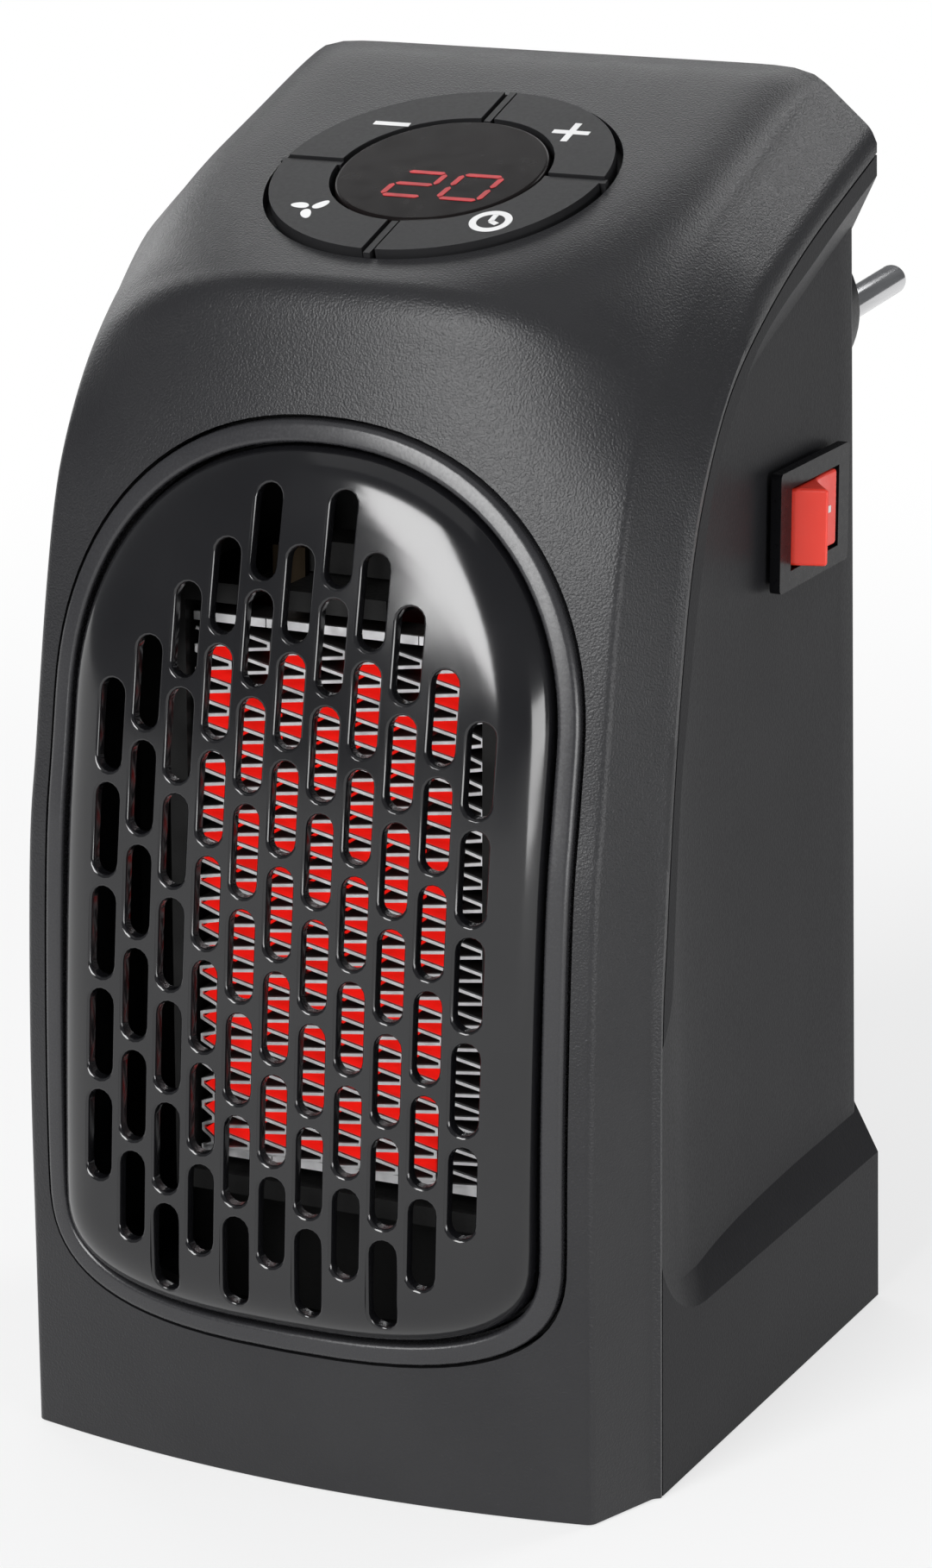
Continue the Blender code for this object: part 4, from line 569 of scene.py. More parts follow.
def side_curve(table):
    """A smooth side profile that ends on the rear face."""
    points = side_points(table)
    points[-1] = (rear_y(points[-1][1]), points[-1][1])
    return smooth_curve(points)


def seam_curve():
    return at_shares(side_curve(SEAM_SHARES), ROW_SHARES)


def opening_loop(inset, low_steps=18, side_steps=14, high_steps=24):
    """The outlet's outline as (x, z), moved inwards: up the right half from its lowest point, down the left."""
    width = OPENING_HALF_WIDTH - inset
    low, low_reach = 2 / OPENING_LOW_POWER, OPENING_LOW_REACH - inset
    high, high_reach = 2 / OPENING_HIGH_POWER, OPENING_HIGH_REACH - inset
    rise = OPENING_HIGH_CENTRE - OPENING_LOW_CENTRE
    lower = [(width * s**low, OPENING_LOW_CENTRE - low_reach * c**low) for s, c in quarter_turn(low_steps)]
    flank = [(width, OPENING_LOW_CENTRE + rise * i / side_steps) for i in range(side_steps)]
    arch = [(width * c**high, OPENING_HIGH_CENTRE + high_reach * s**high) for s, c in quarter_turn(high_steps)]
    side = [*lower[:-1], *flank, *arch[:-1], (0, arch[-1][1])]
    return side + [(-x, z) for x, z in reversed(side[1:-1])]


def surface_y(tree, x, z):
    """Where a surface lies at (x, z), seen from the front."""
    return tree.ray_cast(Vector((x, -BODY_DEPTH, z)), Vector((0, 1, 0)))[0].y


def along_y(x, z):
    """Local Z runs to the rear from y = 0 at (x, z)."""
    return move(x, 0, z) @ rotate(-pi / 2, "X")


def at_screws(name, radius, reach, segments=32):
    """A cylinder at each case screw. reach gives the y of its two ends."""
    meshes = []
    for x, z, joint in SCREW_PLACES:
        meshes.append(cylinder(name, radius, *reach(x, z, joint), along_y(x, z), segments=segments))
    return merged(name, meshes)


def panel_frame():
    """Frame on the sloping top: origin at the panel's centre, local Z along the outward normal."""
    curve = side_curve(CENTRE_SHARES)
    top = curve[curve[:, 1] > OPENING_HIGH_CENTRE + OPENING_HIGH_REACH]
    y, span = (PANEL_DEPTH_SHARE - 0.5) * BODY_DEPTH, CONTROL_RADIUS
    before, z, beyond = np.interp((y - span, y, y + span), top[:, 0], top[:, 1])
    slope = atan2(beyond - before, 2 * span)
    return move(0, y, z) @ rotate(slope, "X")


def piece(name, mesh, body, finish, *nodes, bevel=0.0, segments=2, sharp=30, slot=None):
    """A visible piece that rides on a body and stands for CAD nodes, with its edges softened by a bevel."""
    obj = linked(name, mesh)
    mesh.materials.clear()
    mesh.materials.append(finish)
    mesh.shade_smooth()
    limit = radians(sharp)
    if bevel:
        modify(
            obj, "soft_edges", "BEVEL", width=bevel, segments=segments, limit_method="ANGLE", angle_limit=limit,
            harden_normals=True,
        )
    else:
        mesh.set_sharp_from_angle(angle=limit)
    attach(obj, body)
    if nodes:
        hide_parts(*nodes)


# Front shell


def front_row(share, seam, edge, crease, centre):
    """One half section of the front shell, from the seam to the middle."""
    half = BODY_WIDTH / 2
    crease_x = half * np.interp(share, *zip(*CREASE_WIDTH_SHARES))
    power = np.interp(share, *zip(*CROWN_POWER_SHARES))
    seam_point = Vector((half, *seam))
    edge_point = Vector((half * EDGE_WIDTH_SHARE, *edge))
    crease_point = Vector((crease_x, *crease))
    middle = Vector((0, *centre))

    def across(width_share):
        y, z = (crease_point.lerp(middle, 1 - width_share**power))[1:]
        return Vector((crease_x * width_share, y, z))

    flat_end = seam_point.lerp(edge_point, SEAM_FLAT_SHARE)
    flat_end.x = half
    row = [seam_point, flat_end]
    row += rounded_corner(flat_end, edge_point, crease_point, EDGE_RADIUS, steps=4)
    row += rounded_corner(edge_point, crease_point, across(COLUMN_SHARES[0]), CREASE_RADIUS, steps=6)
    return [*row, *(across(width_share) for width_share in COLUMN_SHARES), middle]


def front_surface():
    """The outer surface of the front shell: floor strip, front, top and rear lip, as one open sheet."""
    curves = [side_curve(table) for table in (SEAM_SHARES, EDGE_SHARES, CREASE_SHARES, CENTRE_SHARES)]
    places = [at_shares(curve, ROW_SHARES) for curve in curves]
    rows = [front_row(share, *stations) for share, *stations in zip(ROW_SHARES, *places)]
    for point in rows[-1]:
        point.y = rear_y(point.z)
    spread = np.linspace(1, 0, len(rows[0]))
    (x, y, _), lip = rows[0][0], rows[-1][0]
    floor_row = [Vector((x * share, y, 0)) for share in spread]
    lip_row = [Vector((lip.x * share, lip.y, lip.z)) for share in spread]
    bm = bmesh.new()
    grid = []
    for row in [floor_row, *rows, lip_row]:
        mirrored = [Vector((-p.x, p.y, p.z)) for p in reversed(row[:-1])]
        grid.append([bm.verts.new(point) for point in row + mirrored])
    for lower, upper in zip(grid, grid[1:]):
        for i in range(len(lower) - 1):
            bm.faces.new((lower[i], upper[i], upper[i + 1], lower[i + 1]))
    bmesh.ops.remove_doubles(bm, verts=bm.verts, dist=MERGE_DISTANCE)
    return bm


def board_posts():
    """Posts under the top wall that carry the bezel flange and the control board."""
    posts = []
    radius = CONTROL_RADIUS + BEZEL_REACH + FIT_GAP + BOARD_POST_RADIUS
    low = -CONTROL_BOARD_DROP + FIT_GAP
    for x, y in circle(radius, steps=4):
        place = PANEL_FRAME @ move(x, y, 0)
        posts.append(cylinder("post", BOARD_POST_RADIUS, low, -WALL / 2, place, segments=32))
    return merged("panel_posts", posts)


def make_front_shell():
    """Makes the front shell and returns its outer surface."""
    surface = front_surface()
    tree = BVHTree.FromBMesh(surface)
    depth = SCREW_LENGTH + OVERRUN / 4
    reach = CONTROL_BOARD_DROP / 2

    def post(x, z, joint):
        return surface_y(tree, x, z + FRONT_POST_RADIUS) + WALL / 2, joint

    def pilot(x, z, joint):
        return joint - depth, joint + OVERRUN

    mesh = solid(
        walled(mesh_from("front_shell", surface), WALL),
        ("UNION", at_screws("posts", FRONT_POST_RADIUS, post)),
        ("UNION", board_posts()),
        ("DIFFERENCE", extruded("outlet", [opening_loop(0.0)], -rear_y(0) / 2, BODY_DEPTH, FACING_FRONT)),
        ("DIFFERENCE", cylinder("hole", CONTROL_RADIUS + FIT_GAP, -reach, reach, PANEL_FRAME, segments=128)),
        ("DIFFERENCE", at_screws("pilot_holes", SCREW_RADIUS + FIT_GAP, pilot)),
    )
    piece("front_shell_skin", mesh, "housing", HOUSING, "front_shell", bevel=0.00035, slot="housing_black")
    return tree


# Rear shell


def rear_outline(inset=0.0):
    """Side outline of the rear shell as (y, z), from the front of its floor up the seam and down the rear."""
    points = [tuple(point) for point in offset_path(seam_curve(), FIT_GAP)]
    points[0] = (points[0][0], inset)
    top_z = points[-1][1]
    points[-1] = (rear_y(top_z) - inset, top_z)
    return [*points, (rear_y(inset) - inset, inset)]


def side_prism(name, outline, half_width):
    """A (y, z) outline extruded across the body."""
    return loft(name, [[(x, y, z) for y, z in outline] for x in (-half_width, half_width)])


def recess_mesh(side):
    """The volume that the side recess takes away: the panel's plan curve within the hood and base chamfers."""
    half = BODY_WIDTH / 2
    outside = half + OVERRUN
    curve = [((d - 0.5) * BODY_DEPTH, PANEL_HALF_WIDTH + s * (half - PANEL_HALF_WIDTH)) for d, s in PANEL_PLAN_SHARES]
    curve = [tuple(point) for point in smooth_curve(curve, steps=8)[:-1]]
    corner_y = BODY_DEPTH / 2
    for s, c in quarter_turn(8):
        curve.append((corner_y - REAR_CORNER_RADIUS * (1 - s), PANEL_HALF_WIDTH - REAR_CORNER_RADIUS * (1 - c)))
    curve.append((corner_y + OVERRUN, curve[-1][1]))
    plan = [*curve, (corner_y + OVERRUN, outside), (curve[0][0], outside)]
    levels = [[(side * x, y - REAR_LEAN * z, z) for y, x in plan] for z in (-OVERRUN, BODY_HEIGHT)]
    chamfer = [hood_outline(x) for x in (outside, half, PANEL_HALF_WIDTH - OVERRUN / 2)]
    rings = [[(side * x, y, z) for x, y, z in ring] for ring in chamfer]
    return solid(loft("chamfer", rings), ("INTERSECT", loft("panel", levels)))


def hood_outline(x):
    """The recess's outline at one x level: it shrinks towards the panel by the chamfer's slope."""
    inset = RECESS_SLOPE * (BODY_WIDTH / 2 - x)
    hood = np.array(side_points(HOOD_SHARES))
    hood = offset_path(at_shares(smooth_curve(hood), np.linspace(0, 1, HOOD_STATIONS)), inset)
    hood = smooth_curve(hood, steps=4)
    front_y = hood[0][0]
    floor_z = RECESS_FLOOR + inset
    points = [(front_y + RECESS_CORNER * (1 - c), floor_z + RECESS_CORNER * (1 - s)) for s, c in quarter_turn(12)]
    return [(x, y, z) for y, z in [*points, (hood[-1][0], floor_z), *hood[::-1]]]


def cavity_outline():
    """The hollow inside the rear shell, open to the front."""
    first, *middle, (top_y, top_z), last = rear_outline(inset=WALL)
    shifted = [(y - OVERRUN, z) for y, z in (first, *middle)]
    return [*shifted, (top_y, top_z - WALL), last]


def rebate_outline():
    """A band along the seam as far as the rear wall, which clears the inner edge of the front shell."""
    seam = seam_curve()
    front = offset_path(seam, -OVERRUN)
    back = offset_path(seam, FIT_GAP + REBATE_DEPTH)
    return [(min(y, rear_y(z) - WALL), z) for y, z in [*front, *back[::-1]]]


def base_cavity_outline():
    """The wider hollow behind the base band."""
    front = rear_outline()[0][0] - OVERRUN
    top = RECESS_FLOOR - WALL
    return [(front, WALL), (front, top), (rear_y(top) - WALL, top), (rear_y(WALL) - WALL, WALL)]


def screw_bores():
    """Through holes with a counterbore from the rear face, which leaves a seat for each screw head."""
    bores = []
    shank = SCREW_RADIUS + FIT_GAP
    head = SCREW_HEAD_RADIUS + FIT_GAP
    for x, z, joint in SCREW_PLACES:
        seat = joint + FIT_GAP + WALL
        start, end = joint - OVERRUN / 4, rear_y(z) + OVERRUN
        profile = [(0, start), (shank, start), (shank, seat), (head, seat), (head, end), (0, end)]
        bores.append(turned("bore", profile, along_y(x, z), steps=32))
    return merged("screw_bores", bores)


def intake_slots():
    """Rows of level slots in the rear wall, in two columns."""
    slots = []
    rows = int((INTAKE_HIGH_Z - INTAKE_LOW_Z) / INTAKE_SLOT_PITCH) + 1
    length = INTAKE_HALF_WIDTH - INTAKE_SLOT_PITCH / 2
    for row in range(rows):
        z = INTAKE_LOW_Z + row * INTAKE_SLOT_PITCH
        low, high = -rear_y(z) - OVERRUN, -rear_y(z) + OVERRUN
        for side in (-1, 1):
            outline = rectangle(length, INTAKE_SLOT_WIDTH, (side * INTAKE_HALF_WIDTH / 2, z))
            slots.append(extruded("slot", [outline], low, high, FACING_FRONT))
    return merged("intake", slots)


def switch_hole():
    size = (OVERRUN * 2 + WALL, *(side + 2 * FIT_GAP for side in SWITCH_BODY))
    return box("switch_hole", size, (PANEL_HALF_WIDTH - WALL / 2, SWITCH_Y, SWITCH_Z))


def make_rear_shell():
    half = BODY_WIDTH / 2

    def post(x, z, joint):
        return joint + FIT_GAP, rear_y(z) - WALL / 2

    mesh = solid(
        side_prism("rear_shell", rear_outline(), half),
        ("DIFFERENCE", recess_mesh(-1)),
        ("DIFFERENCE", recess_mesh(1)),
        ("DIFFERENCE", side_prism("cavity", cavity_outline(), PANEL_HALF_WIDTH - WALL)),
        ("DIFFERENCE", side_prism("base_cavity", base_cavity_outline(), half - WALL)),
        ("DIFFERENCE", side_prism("rebate", rebate_outline(), half - REBATE_LAND)),
        ("UNION", at_screws("posts", POST_RADIUS, post, segments=40)),
        ("DIFFERENCE", screw_bores()),
        ("DIFFERENCE", intake_slots()),
        ("DIFFERENCE", switch_hole()),
        ("DIFFERENCE", cylinder("hole", PLUG_HUB_RADIUS + FIT_GAP, -OVERRUN - WALL, OVERRUN, PLUG_FRAME)),
    )
    piece("rear_shell_skin", mesh, "housing", REAR_HOUSING, "rear_shell", bevel=0.0004, sharp=18, slot="housing_black")


# Outlet


def make_ring(tree):
    """The rounded trim ring between its two grooves."""
    outer, inner, size = RING_GROOVE, RING_GROOVE + RING_WIDTH, RING_ROUNDING
    section = [(outer, WALL)]
    section += [(outer + size * (1 - c), size * (1 - s) - RING_PROUD) for s, c in quarter_turn(6)]
    section += [(inner - size * (1 - s), size * (1 - c) - RING_PROUD) for s, c in quarter_turn(6)]
    section.append((inner, WALL))
    loops = []
    for inset, depth in section:
        loops.append([(x, surface_y(tree, x, z) + depth, z) for x, z in opening_loop(inset)])
    mesh = loft("grille_ring", loops, closed=True)
    piece("grille_ring_trim", mesh, "housing", RING, "grille_ring", sharp=50, slot="housing_black")


def slot_cutter(centre, tree):
    """A slot that opens to the front in a quarter round, which follows the plate."""
    rings = []
    for step in range(-1, MOUTH_STEPS + 2):
        angle = MOUTH_START + (pi / 2 - MOUTH_START) * min(max(step, 0), MOUTH_STEPS) / MOUTH_STEPS
        wider = 2 * MOUTH_RADIUS * (1 - sin(angle))
        depth = {-1: -OVERRUN, MOUTH_STEPS + 1: BODY_DEPTH}.get(step, MOUTH_RADIUS * (1 - cos(angle)))
        outline = slot_outline(SLOT_WIDTH + wider, SLOT_LENGTH + wider, centre)
        rings.append([(x, surface_y(tree, x, z) + depth, z) for x, z in outline])
    return loft("slot", rings)


def grille_slots(tree):
    """Staggered round-ended slots, evenly spaced along the curved middle of the plate."""
    lengths = lengths_along(GRILLE_PROFILE)
    first = np.interp(SLOT_FIRST_ROW, GRILLE_PROFILE[:, 1], lengths)
    slots = []
    for column in range(1 - len(SLOT_ROWS), len(SLOT_ROWS)):
        low, high = SLOT_ROWS[abs(column)]
        stagger = SLOT_STAGGER_SHARE if column % 2 == 0 else 0.0
        for row in range(low, high + 1):
            z = np.interp(first + (row + stagger) * SLOT_PITCH_Z, lengths, GRILLE_PROFILE[:, 1])
            slots.append(slot_cutter((column * SLOT_PITCH_X, z), tree))
    return merged("slots", slots)


def make_grille(tree):
    """The domed plate: flange, groove floor, rolled edge, and a crowned field with round-rimmed slots."""
    rim = 2 * RING_GROOVE + RING_WIDTH
    bm = bmesh.new()
    loops = []

    def add(places, y_at):
        loops.append([bm.verts.new((x, y_at(x, z), z)) for x, z in places])

    def flange_y(x, z):
        return surface_y(tree, x, z) + WALL + 2 * FIT_GAP

    def dome_y(x, z):
        crown = GRILLE_CROWN * (x / (OPENING_HALF_WIDTH - rim)) ** 2
        return float(np.interp(z, GRILLE_PROFILE[:, 1], GRILLE_PROFILE[:, 0])) + crown

    def rolled_y(x, z):
        rim_y = surface_y(tree, x, z) + GRILLE_RIM_DROP
        return dome_y(x, z) + (rim_y - dome_y(x, z)) * drop

    add(opening_loop(-FLANGE_OVERLAP), flange_y)
    add(opening_loop(rim), flange_y)
    for i in range(ROLL_STEPS + 1):
        share = (i / ROLL_STEPS) ** 2
        drop = 1 - sqrt(max(1 - (1 - share) ** 2, 0))
        add(opening_loop(rim + share * GRILLE_FILLET), rolled_y)
    field = [(vert.co.x, vert.co.z) for vert in loops[-1]]
    centre_z = (field[0][1] + field[len(field) // 2][1]) / 2
    for i in range(1, DOME_RINGS):
        share = 1 - i / DOME_RINGS
        add([(x * share, centre_z + (z - centre_z) * share) for x, z in field], dome_y)
    skin(bm, loops)
    middle = bm.verts.new((0, dome_y(0, centre_z), centre_z))
    last = loops[-1]
    for i, vert in enumerate(last):
        bm.faces.new((vert, last[(i + 1) % len(last)], middle))
    plate_tree = BVHTree.FromBMesh(bm)
    plate = walled(mesh_from("grille", bm), GRILLE_WALL)
    mesh = solid(plate, ("DIFFERENCE", grille_slots(plate_tree)))
    piece("grille_plate", mesh, "housing", GLOSS, "grille", bevel=0.0003, sharp=45, slot="grille_gloss_black")


def fin_outline(low_x, high_x, lean_low=0.0, lean_high=0.0):
    """A folded foil as a closed outline: leaves that rise a little to the right and to the left in turn."""
    path = []
    height = ELEMENT_HEIGHT - 2 * (FIN_END_MARGIN + FIN_END_PLATE)
    base = ELEMENT_CENTRE_Z - height / 2
    count = int(height / FIN_PITCH)
    pitch = height / count
    for i in range(count):
        z = base + i * pitch
        left = low_x + lean_low * (z - FOIL_LEAN_Z) + FIN_THICKNESS / 2
        right = high_x + lean_high * (z - FOIL_LEAN_Z) - FIN_THICKNESS / 2
        turn, end = z + FIN_TILT + FIN_BEND, z + pitch - FIN_TILT - FIN_BEND
        path += [(left, z - FIN_TILT), (right, z + FIN_TILT), (right, turn), (left, end)]
    return thick_path(np.array(path), FIN_THICKNESS)


def make_fins():
    """The folded foils, one behind each column of slots as photographed, with end plates over them."""
    front, step, back = FOIL_FRONT, FOIL_FRONT + FIN_FRONT_DEPTH, FOIL_FRONT + ELEMENT_DEPTH
    end = ELEMENT_WIDTH / 2
    gap = FIT_GAP / 2
    beside = PTC_BAR_X + PTC_BAR_WIDTH / 2 + FIT_GAP
    inner = [(FOIL_CENTRE + (i + 0.5) * FOIL_PITCH, FOIL_LEAN) for i in range(-4, 4)]
    edges = [(-end, 0.0), *(edge for edge in inner if abs(edge[0]) < end - FOIL_PITCH / 2), (end, 0.0)]
    plate_z = (ELEMENT_HEIGHT - FIN_END_PLATE) / 2 - FIN_END_MARGIN
    strips = (
        ("left", edges[:3], -end, -beside),
        ("middle", edges[2:7], -PTC_BAR_X * 2 + beside, PTC_BAR_X * 2 - beside),
        ("right", edges[6:], beside, end),
    )
    for name, sides, *rear in strips:
        meshes = []
        for (a, lean_a), (b, lean_b) in zip(sides, sides[1:]):
            outline = fin_outline(a + gap, b - gap, lean_a, lean_b)
            meshes.append(extruded(name, [outline], -step, -front, FACING_FRONT))
        meshes.append(extruded(name, [fin_outline(*rear)], -back, -step, FACING_FRONT))
        low, high = max(sides[0][0], -end), min(sides[-1][0], end)
        for side in (-1, 1):
            centre = ((low + high) / 2, (front + step) / 2, ELEMENT_CENTRE_Z + side * plate_z)
            meshes.append(box(name, (high - low - gap, FIN_FRONT_DEPTH, FIN_END_PLATE), centre))
        mesh = merged(name, meshes)
        piece(f"fin_leaves_{name}", mesh, "housing", FOIL_PAINTED_GLOW_AND_SHADE, f"fin_strip_{name}", sharp=20, slot="fin_aluminium")
    depth = ELEMENT_DEPTH - FIN_FRONT_DEPTH - FIT_GAP
    for name, side in (("left", -1), ("right", 1)):
        mesh = box(
            name, (PTC_BAR_WIDTH, depth, ELEMENT_HEIGHT), (side * PTC_BAR_X, back - depth / 2, ELEMENT_CENTRE_Z)
        )
        piece(f"ptc_bar_wrap_{name}", mesh, "housing", WRAP, f"ptc_bar_{name}", bevel=0.0002, slot="ptc_bar_grey")


# Control panel


def make_control_panel():
    """The bezel with its collar and dividers, the four keys, and the display's lens."""
    top = -WALL - FIT_GAP
    low = top - BEZEL_FLANGE / 2
    middle = (CONTROL_RADIUS + DISPLAY_RADIUS) / 2
    angles = [pi / 4 + quarter * pi / 2 for quarter in range(4)]
    centres = [(middle * cos(angle), middle * sin(angle)) for angle in angles]
    loops = [circle(CONTROL_RADIUS + BEZEL_REACH), circle(DISPLAY_RADIUS - COLLAR_WIDTH)]
    loops += [circle(KEY_STEM_RADIUS + FIT_GAP, centre, steps=16) for centre in centres]
    collar = [circle(DISPLAY_RADIUS + COLLAR_WIDTH, steps=120), circle(DISPLAY_RADIUS, steps=120)]
    steps = [("UNION", extruded("collar", collar, low, -DISPLAY_THICKNESS - FIT_GAP, PANEL_FRAME))]
    reach = CONTROL_RADIUS - DISPLAY_RADIUS - COLLAR_WIDTH
    rise = KEY_PROUD - DIVIDER_DROP - low
    size = (reach, DIVIDER_WIDTH - KEY_GROOVE / 2, rise)
    for quarter in range(4):
        turn = PANEL_FRAME @ rotate(quarter * pi / 2, "Z")
        steps.append(("UNION", box("divider", size, (CONTROL_RADIUS - reach / 2, 0, low + rise / 2), turn)))
    mesh = solid(extruded("bezel", loops, top - BEZEL_FLANGE, top, PANEL_FRAME), *steps)
    piece("control_bezel_trim", mesh, "housing", SATIN, "control_bezel", bevel=0.0002, slot="key_satin_black")

    inner = DISPLAY_RADIUS + COLLAR_WIDTH + FIT_GAP
    outer = CONTROL_RADIUS - KEY_GROOVE
    gap = DIVIDER_WIDTH / 2 + KEY_GROOVE / 2
    low = KEY_PROUD - KEY_THICKNESS
    switch_top = -CONTROL_BOARD_DROP + FIT_GAP + TACT_HEIGHT + TACT_BUTTON_HEIGHT
    stem = (switch_top + KEY_TRAVEL + FIT_GAP, low + KEY_THICKNESS / 2)
    for quarter, (name, centre) in enumerate(zip(("plus", "minus", "speed", "timer"), centres)):
        cap = extruded(name, [sector(inner, outer, quarter, gap)], low, KEY_PROUD, PANEL_FRAME)
        place = PANEL_FRAME @ move(*centre, 0)
        mesh = solid(cap, ("UNION", cylinder("stem", KEY_STEM_RADIUS, *stem, place, segments=24)))
        key = f"key_{name}"
        piece(f"{key}_cap", mesh, key, SATIN, key, bevel=0.00035, segments=3, slot="key_satin_black")

    radius = DISPLAY_RADIUS + COLLAR_WIDTH - FIT_GAP
    mesh = cylinder("lens", radius, -DISPLAY_THICKNESS, LENS_PROUD, PANEL_FRAME, segments=120)
    piece("display_lens", mesh, "housing", SMOKED, "display_window", bevel=0.0005, segments=3, slot="display_smoked")


def plate(name, shapes, body, finish, low):
    """Thin raised marks on the control panel, in one mesh. Each shape is an outline and any holes in it."""
    meshes = [extruded(name, loops, low, low + MARK_HEIGHT, PANEL_FRAME) for loops in shapes]
    piece(name, merged(name, meshes), body, finish)


def digit_stroke(ends, x, y):
    """One bevel-ended stroke of a digit, leaning with the digit's slant."""
    start, end = (Vector((sx * DIGIT_WIDTH / 2, sy * DIGIT_HEIGHT / 2)) for sx, sy in ends)
    half = DIGIT_STROKE / 2
    along = (end - start).normalized()
    across = Vector((-along.y, along.x)) * half
    start, end = start + along * half * DIGIT_END_GAP, end - along * half * DIGIT_END_GAP
    points = (
        start - along * half, start - across, end - across,
        end + along * half, end + across, start + across,
    )
    return [(x + p.x + p.y * DIGIT_SLANT, y + p.y) for p in points]


def make_marks():
    """The number 20 in seven-segment strokes over the lens, and the icons of the four keys."""
    strokes = []
    for (x, y), lit in zip(DIGIT_PLACES, ("abged", "abcdef")):
        strokes += [[digit_stroke(DIGIT_STROKES[letter], x, y)] for letter in lit]
    plate("display_digits", strokes, "housing", DIGITS, LENS_PROUD)
    plate("mark_minus", [[bar(MINUS_PLACE, SIGN_LENGTH, SIGN_WIDTH)]], "key_minus", MARKS, KEY_PROUD)
    arm = (SIGN_LENGTH - SIGN_WIDTH) / 2
    shift = (SIGN_LENGTH + SIGN_WIDTH) / 4
    x, y = PLUS_PLACE
    plus = [[bar(PLUS_PLACE, SIGN_LENGTH, SIGN_WIDTH)]]
    plus += [[bar((x, y + side * shift), SIGN_WIDTH, arm)] for side in (-1, 1)]
    plate("mark_plus", plus, "key_plus", MARKS, KEY_PROUD)
    petals = []
    for i in range(3):
        turn = Matrix.Rotation(2 * pi * i / 3 + pi / 6, 2)
        outline = []
        for t in (2 * pi * j / PETAL_STEPS for j in range(PETAL_STEPS)):
            x = ICON_RADIUS * PETAL_CENTRE + ICON_RADIUS * PETAL_REACH[0] * cos(t)
            p = Vector((x, ICON_RADIUS * PETAL_REACH[1] * sin(t)))
            p.y += ICON_RADIUS * PETAL_BEND * (p.x / ICON_RADIUS) ** 2
            outline.append(Vector(SPEED_PLACE) + turn @ p)
        petals.append([outline])
    plate("mark_speed", petals, "key_speed", MARKS, KEY_PROUD)
    clock = [[circle(ICON_RADIUS, TIMER_PLACE, 40), circle(ICON_RADIUS - SIGN_WIDTH, TIMER_PLACE, 40)]]
    x, y = TIMER_PLACE
    for share, angle in CLOCK_HANDS:
        length = ICON_RADIUS * share
        centre = (x + cos(angle) * length / 2, y + sin(angle) * length / 2)
        clock.append([bar(centre, length, SIGN_WIDTH * CLOCK_HAND_WIDTH_SHARE, angle)])
    plate("mark_timer", clock, "key_timer", MARKS, KEY_PROUD)


# Rocker switch


def make_switch():
    rim = rectangle(SWITCH_LENGTH, SWITCH_HEIGHT, radius=SWITCH_END_RIM / 3)
    floor = ROCKER_PIVOT_OUT - ROCKER_KEEL - WALL
    mesh = solid(
        extruded("body", [rectangle(*SWITCH_BODY)], -SWITCH_BODY_DEPTH, SWITCH_PROUD / 2, SWITCH_FRAME),
        ("UNION", extruded("rim", [rim], FIT_GAP + WALL / 4, SWITCH_PROUD, SWITCH_FRAME)),
        ("DIFFERENCE", extruded("well", [rectangle(*SWITCH_WELL)], floor, SWITCH_PROUD + OVERRUN, SWITCH_FRAME)),
    )
    piece("switch_housing", mesh, "housing", SWITCH, "switch_body", bevel=0.00045, segments=3, slot="plug_black")


def make_rocker():
    """The rocker with a hollowed face, turned so that its front end stands out, and its two marks."""
    half = SWITCH_WELL[0] / 2 - FIT_GAP
    reach = sqrt(half**2 - ROCKER_END_RISE**2)
    hollow = ROCKER_END_RISE - ROCKER_MIDDLE_RISE
    outline = [(-reach, -ROCKER_END_RISE / 2), (-reach / 2, -ROCKER_KEEL), (reach / 2, -ROCKER_KEEL)]
    outline.append((reach, -ROCKER_END_RISE / 2))
    for i in range(ROCKER_FACE_STEPS + 1):
        share = 1 - 2 * i / ROCKER_FACE_STEPS
        outline.append((reach * share, ROCKER_MIDDLE_RISE + hollow * abs(share) ** ROCKER_HOLLOW_POWER))
    height = SWITCH_WELL[1] - 2 * FIT_GAP
    pivot = SWITCH_FRAME @ move(0, 0, ROCKER_PIVOT_OUT)
    turn = pivot @ rotate(ROCKER_TILT, "Y") @ rotate(pi / 2, "X")
    mesh = extruded("rocker", [outline], -height / 2, height / 2, turn)
    piece("rocker_key", mesh, "rocker", RED, "switch_rocker", bevel=0.0005, segments=3, slot="rocker_red")
    rise = ROCKER_MIDDLE_RISE + hollow * 0.5**ROCKER_HOLLOW_POWER - MARK_HEIGHT
    slope = atan2(hollow, reach) * ROCKER_MARK_LEAN_SHARE
    line = [bar((0, 0), SWITCH_MARK, SIGN_WIDTH)]
    ring = [circle(SWITCH_MARK / 2, steps=32), circle(SWITCH_MARK / 2 - SIGN_WIDTH, steps=32)]
    marks = []
    for side, loops in ((1, line), (-1, ring)):
        at = turn @ move(side * reach / 2, rise, 0) @ rotate(side * slope, "Z")
        at = at @ rotate(-pi / 2, "X")
        marks.append(extruded("mark", loops, 0, 2 * MARK_HEIGHT, at))
    piece("rocker_marks", merged("rocker_marks", marks), "rocker", MARKS)


# Mains plug


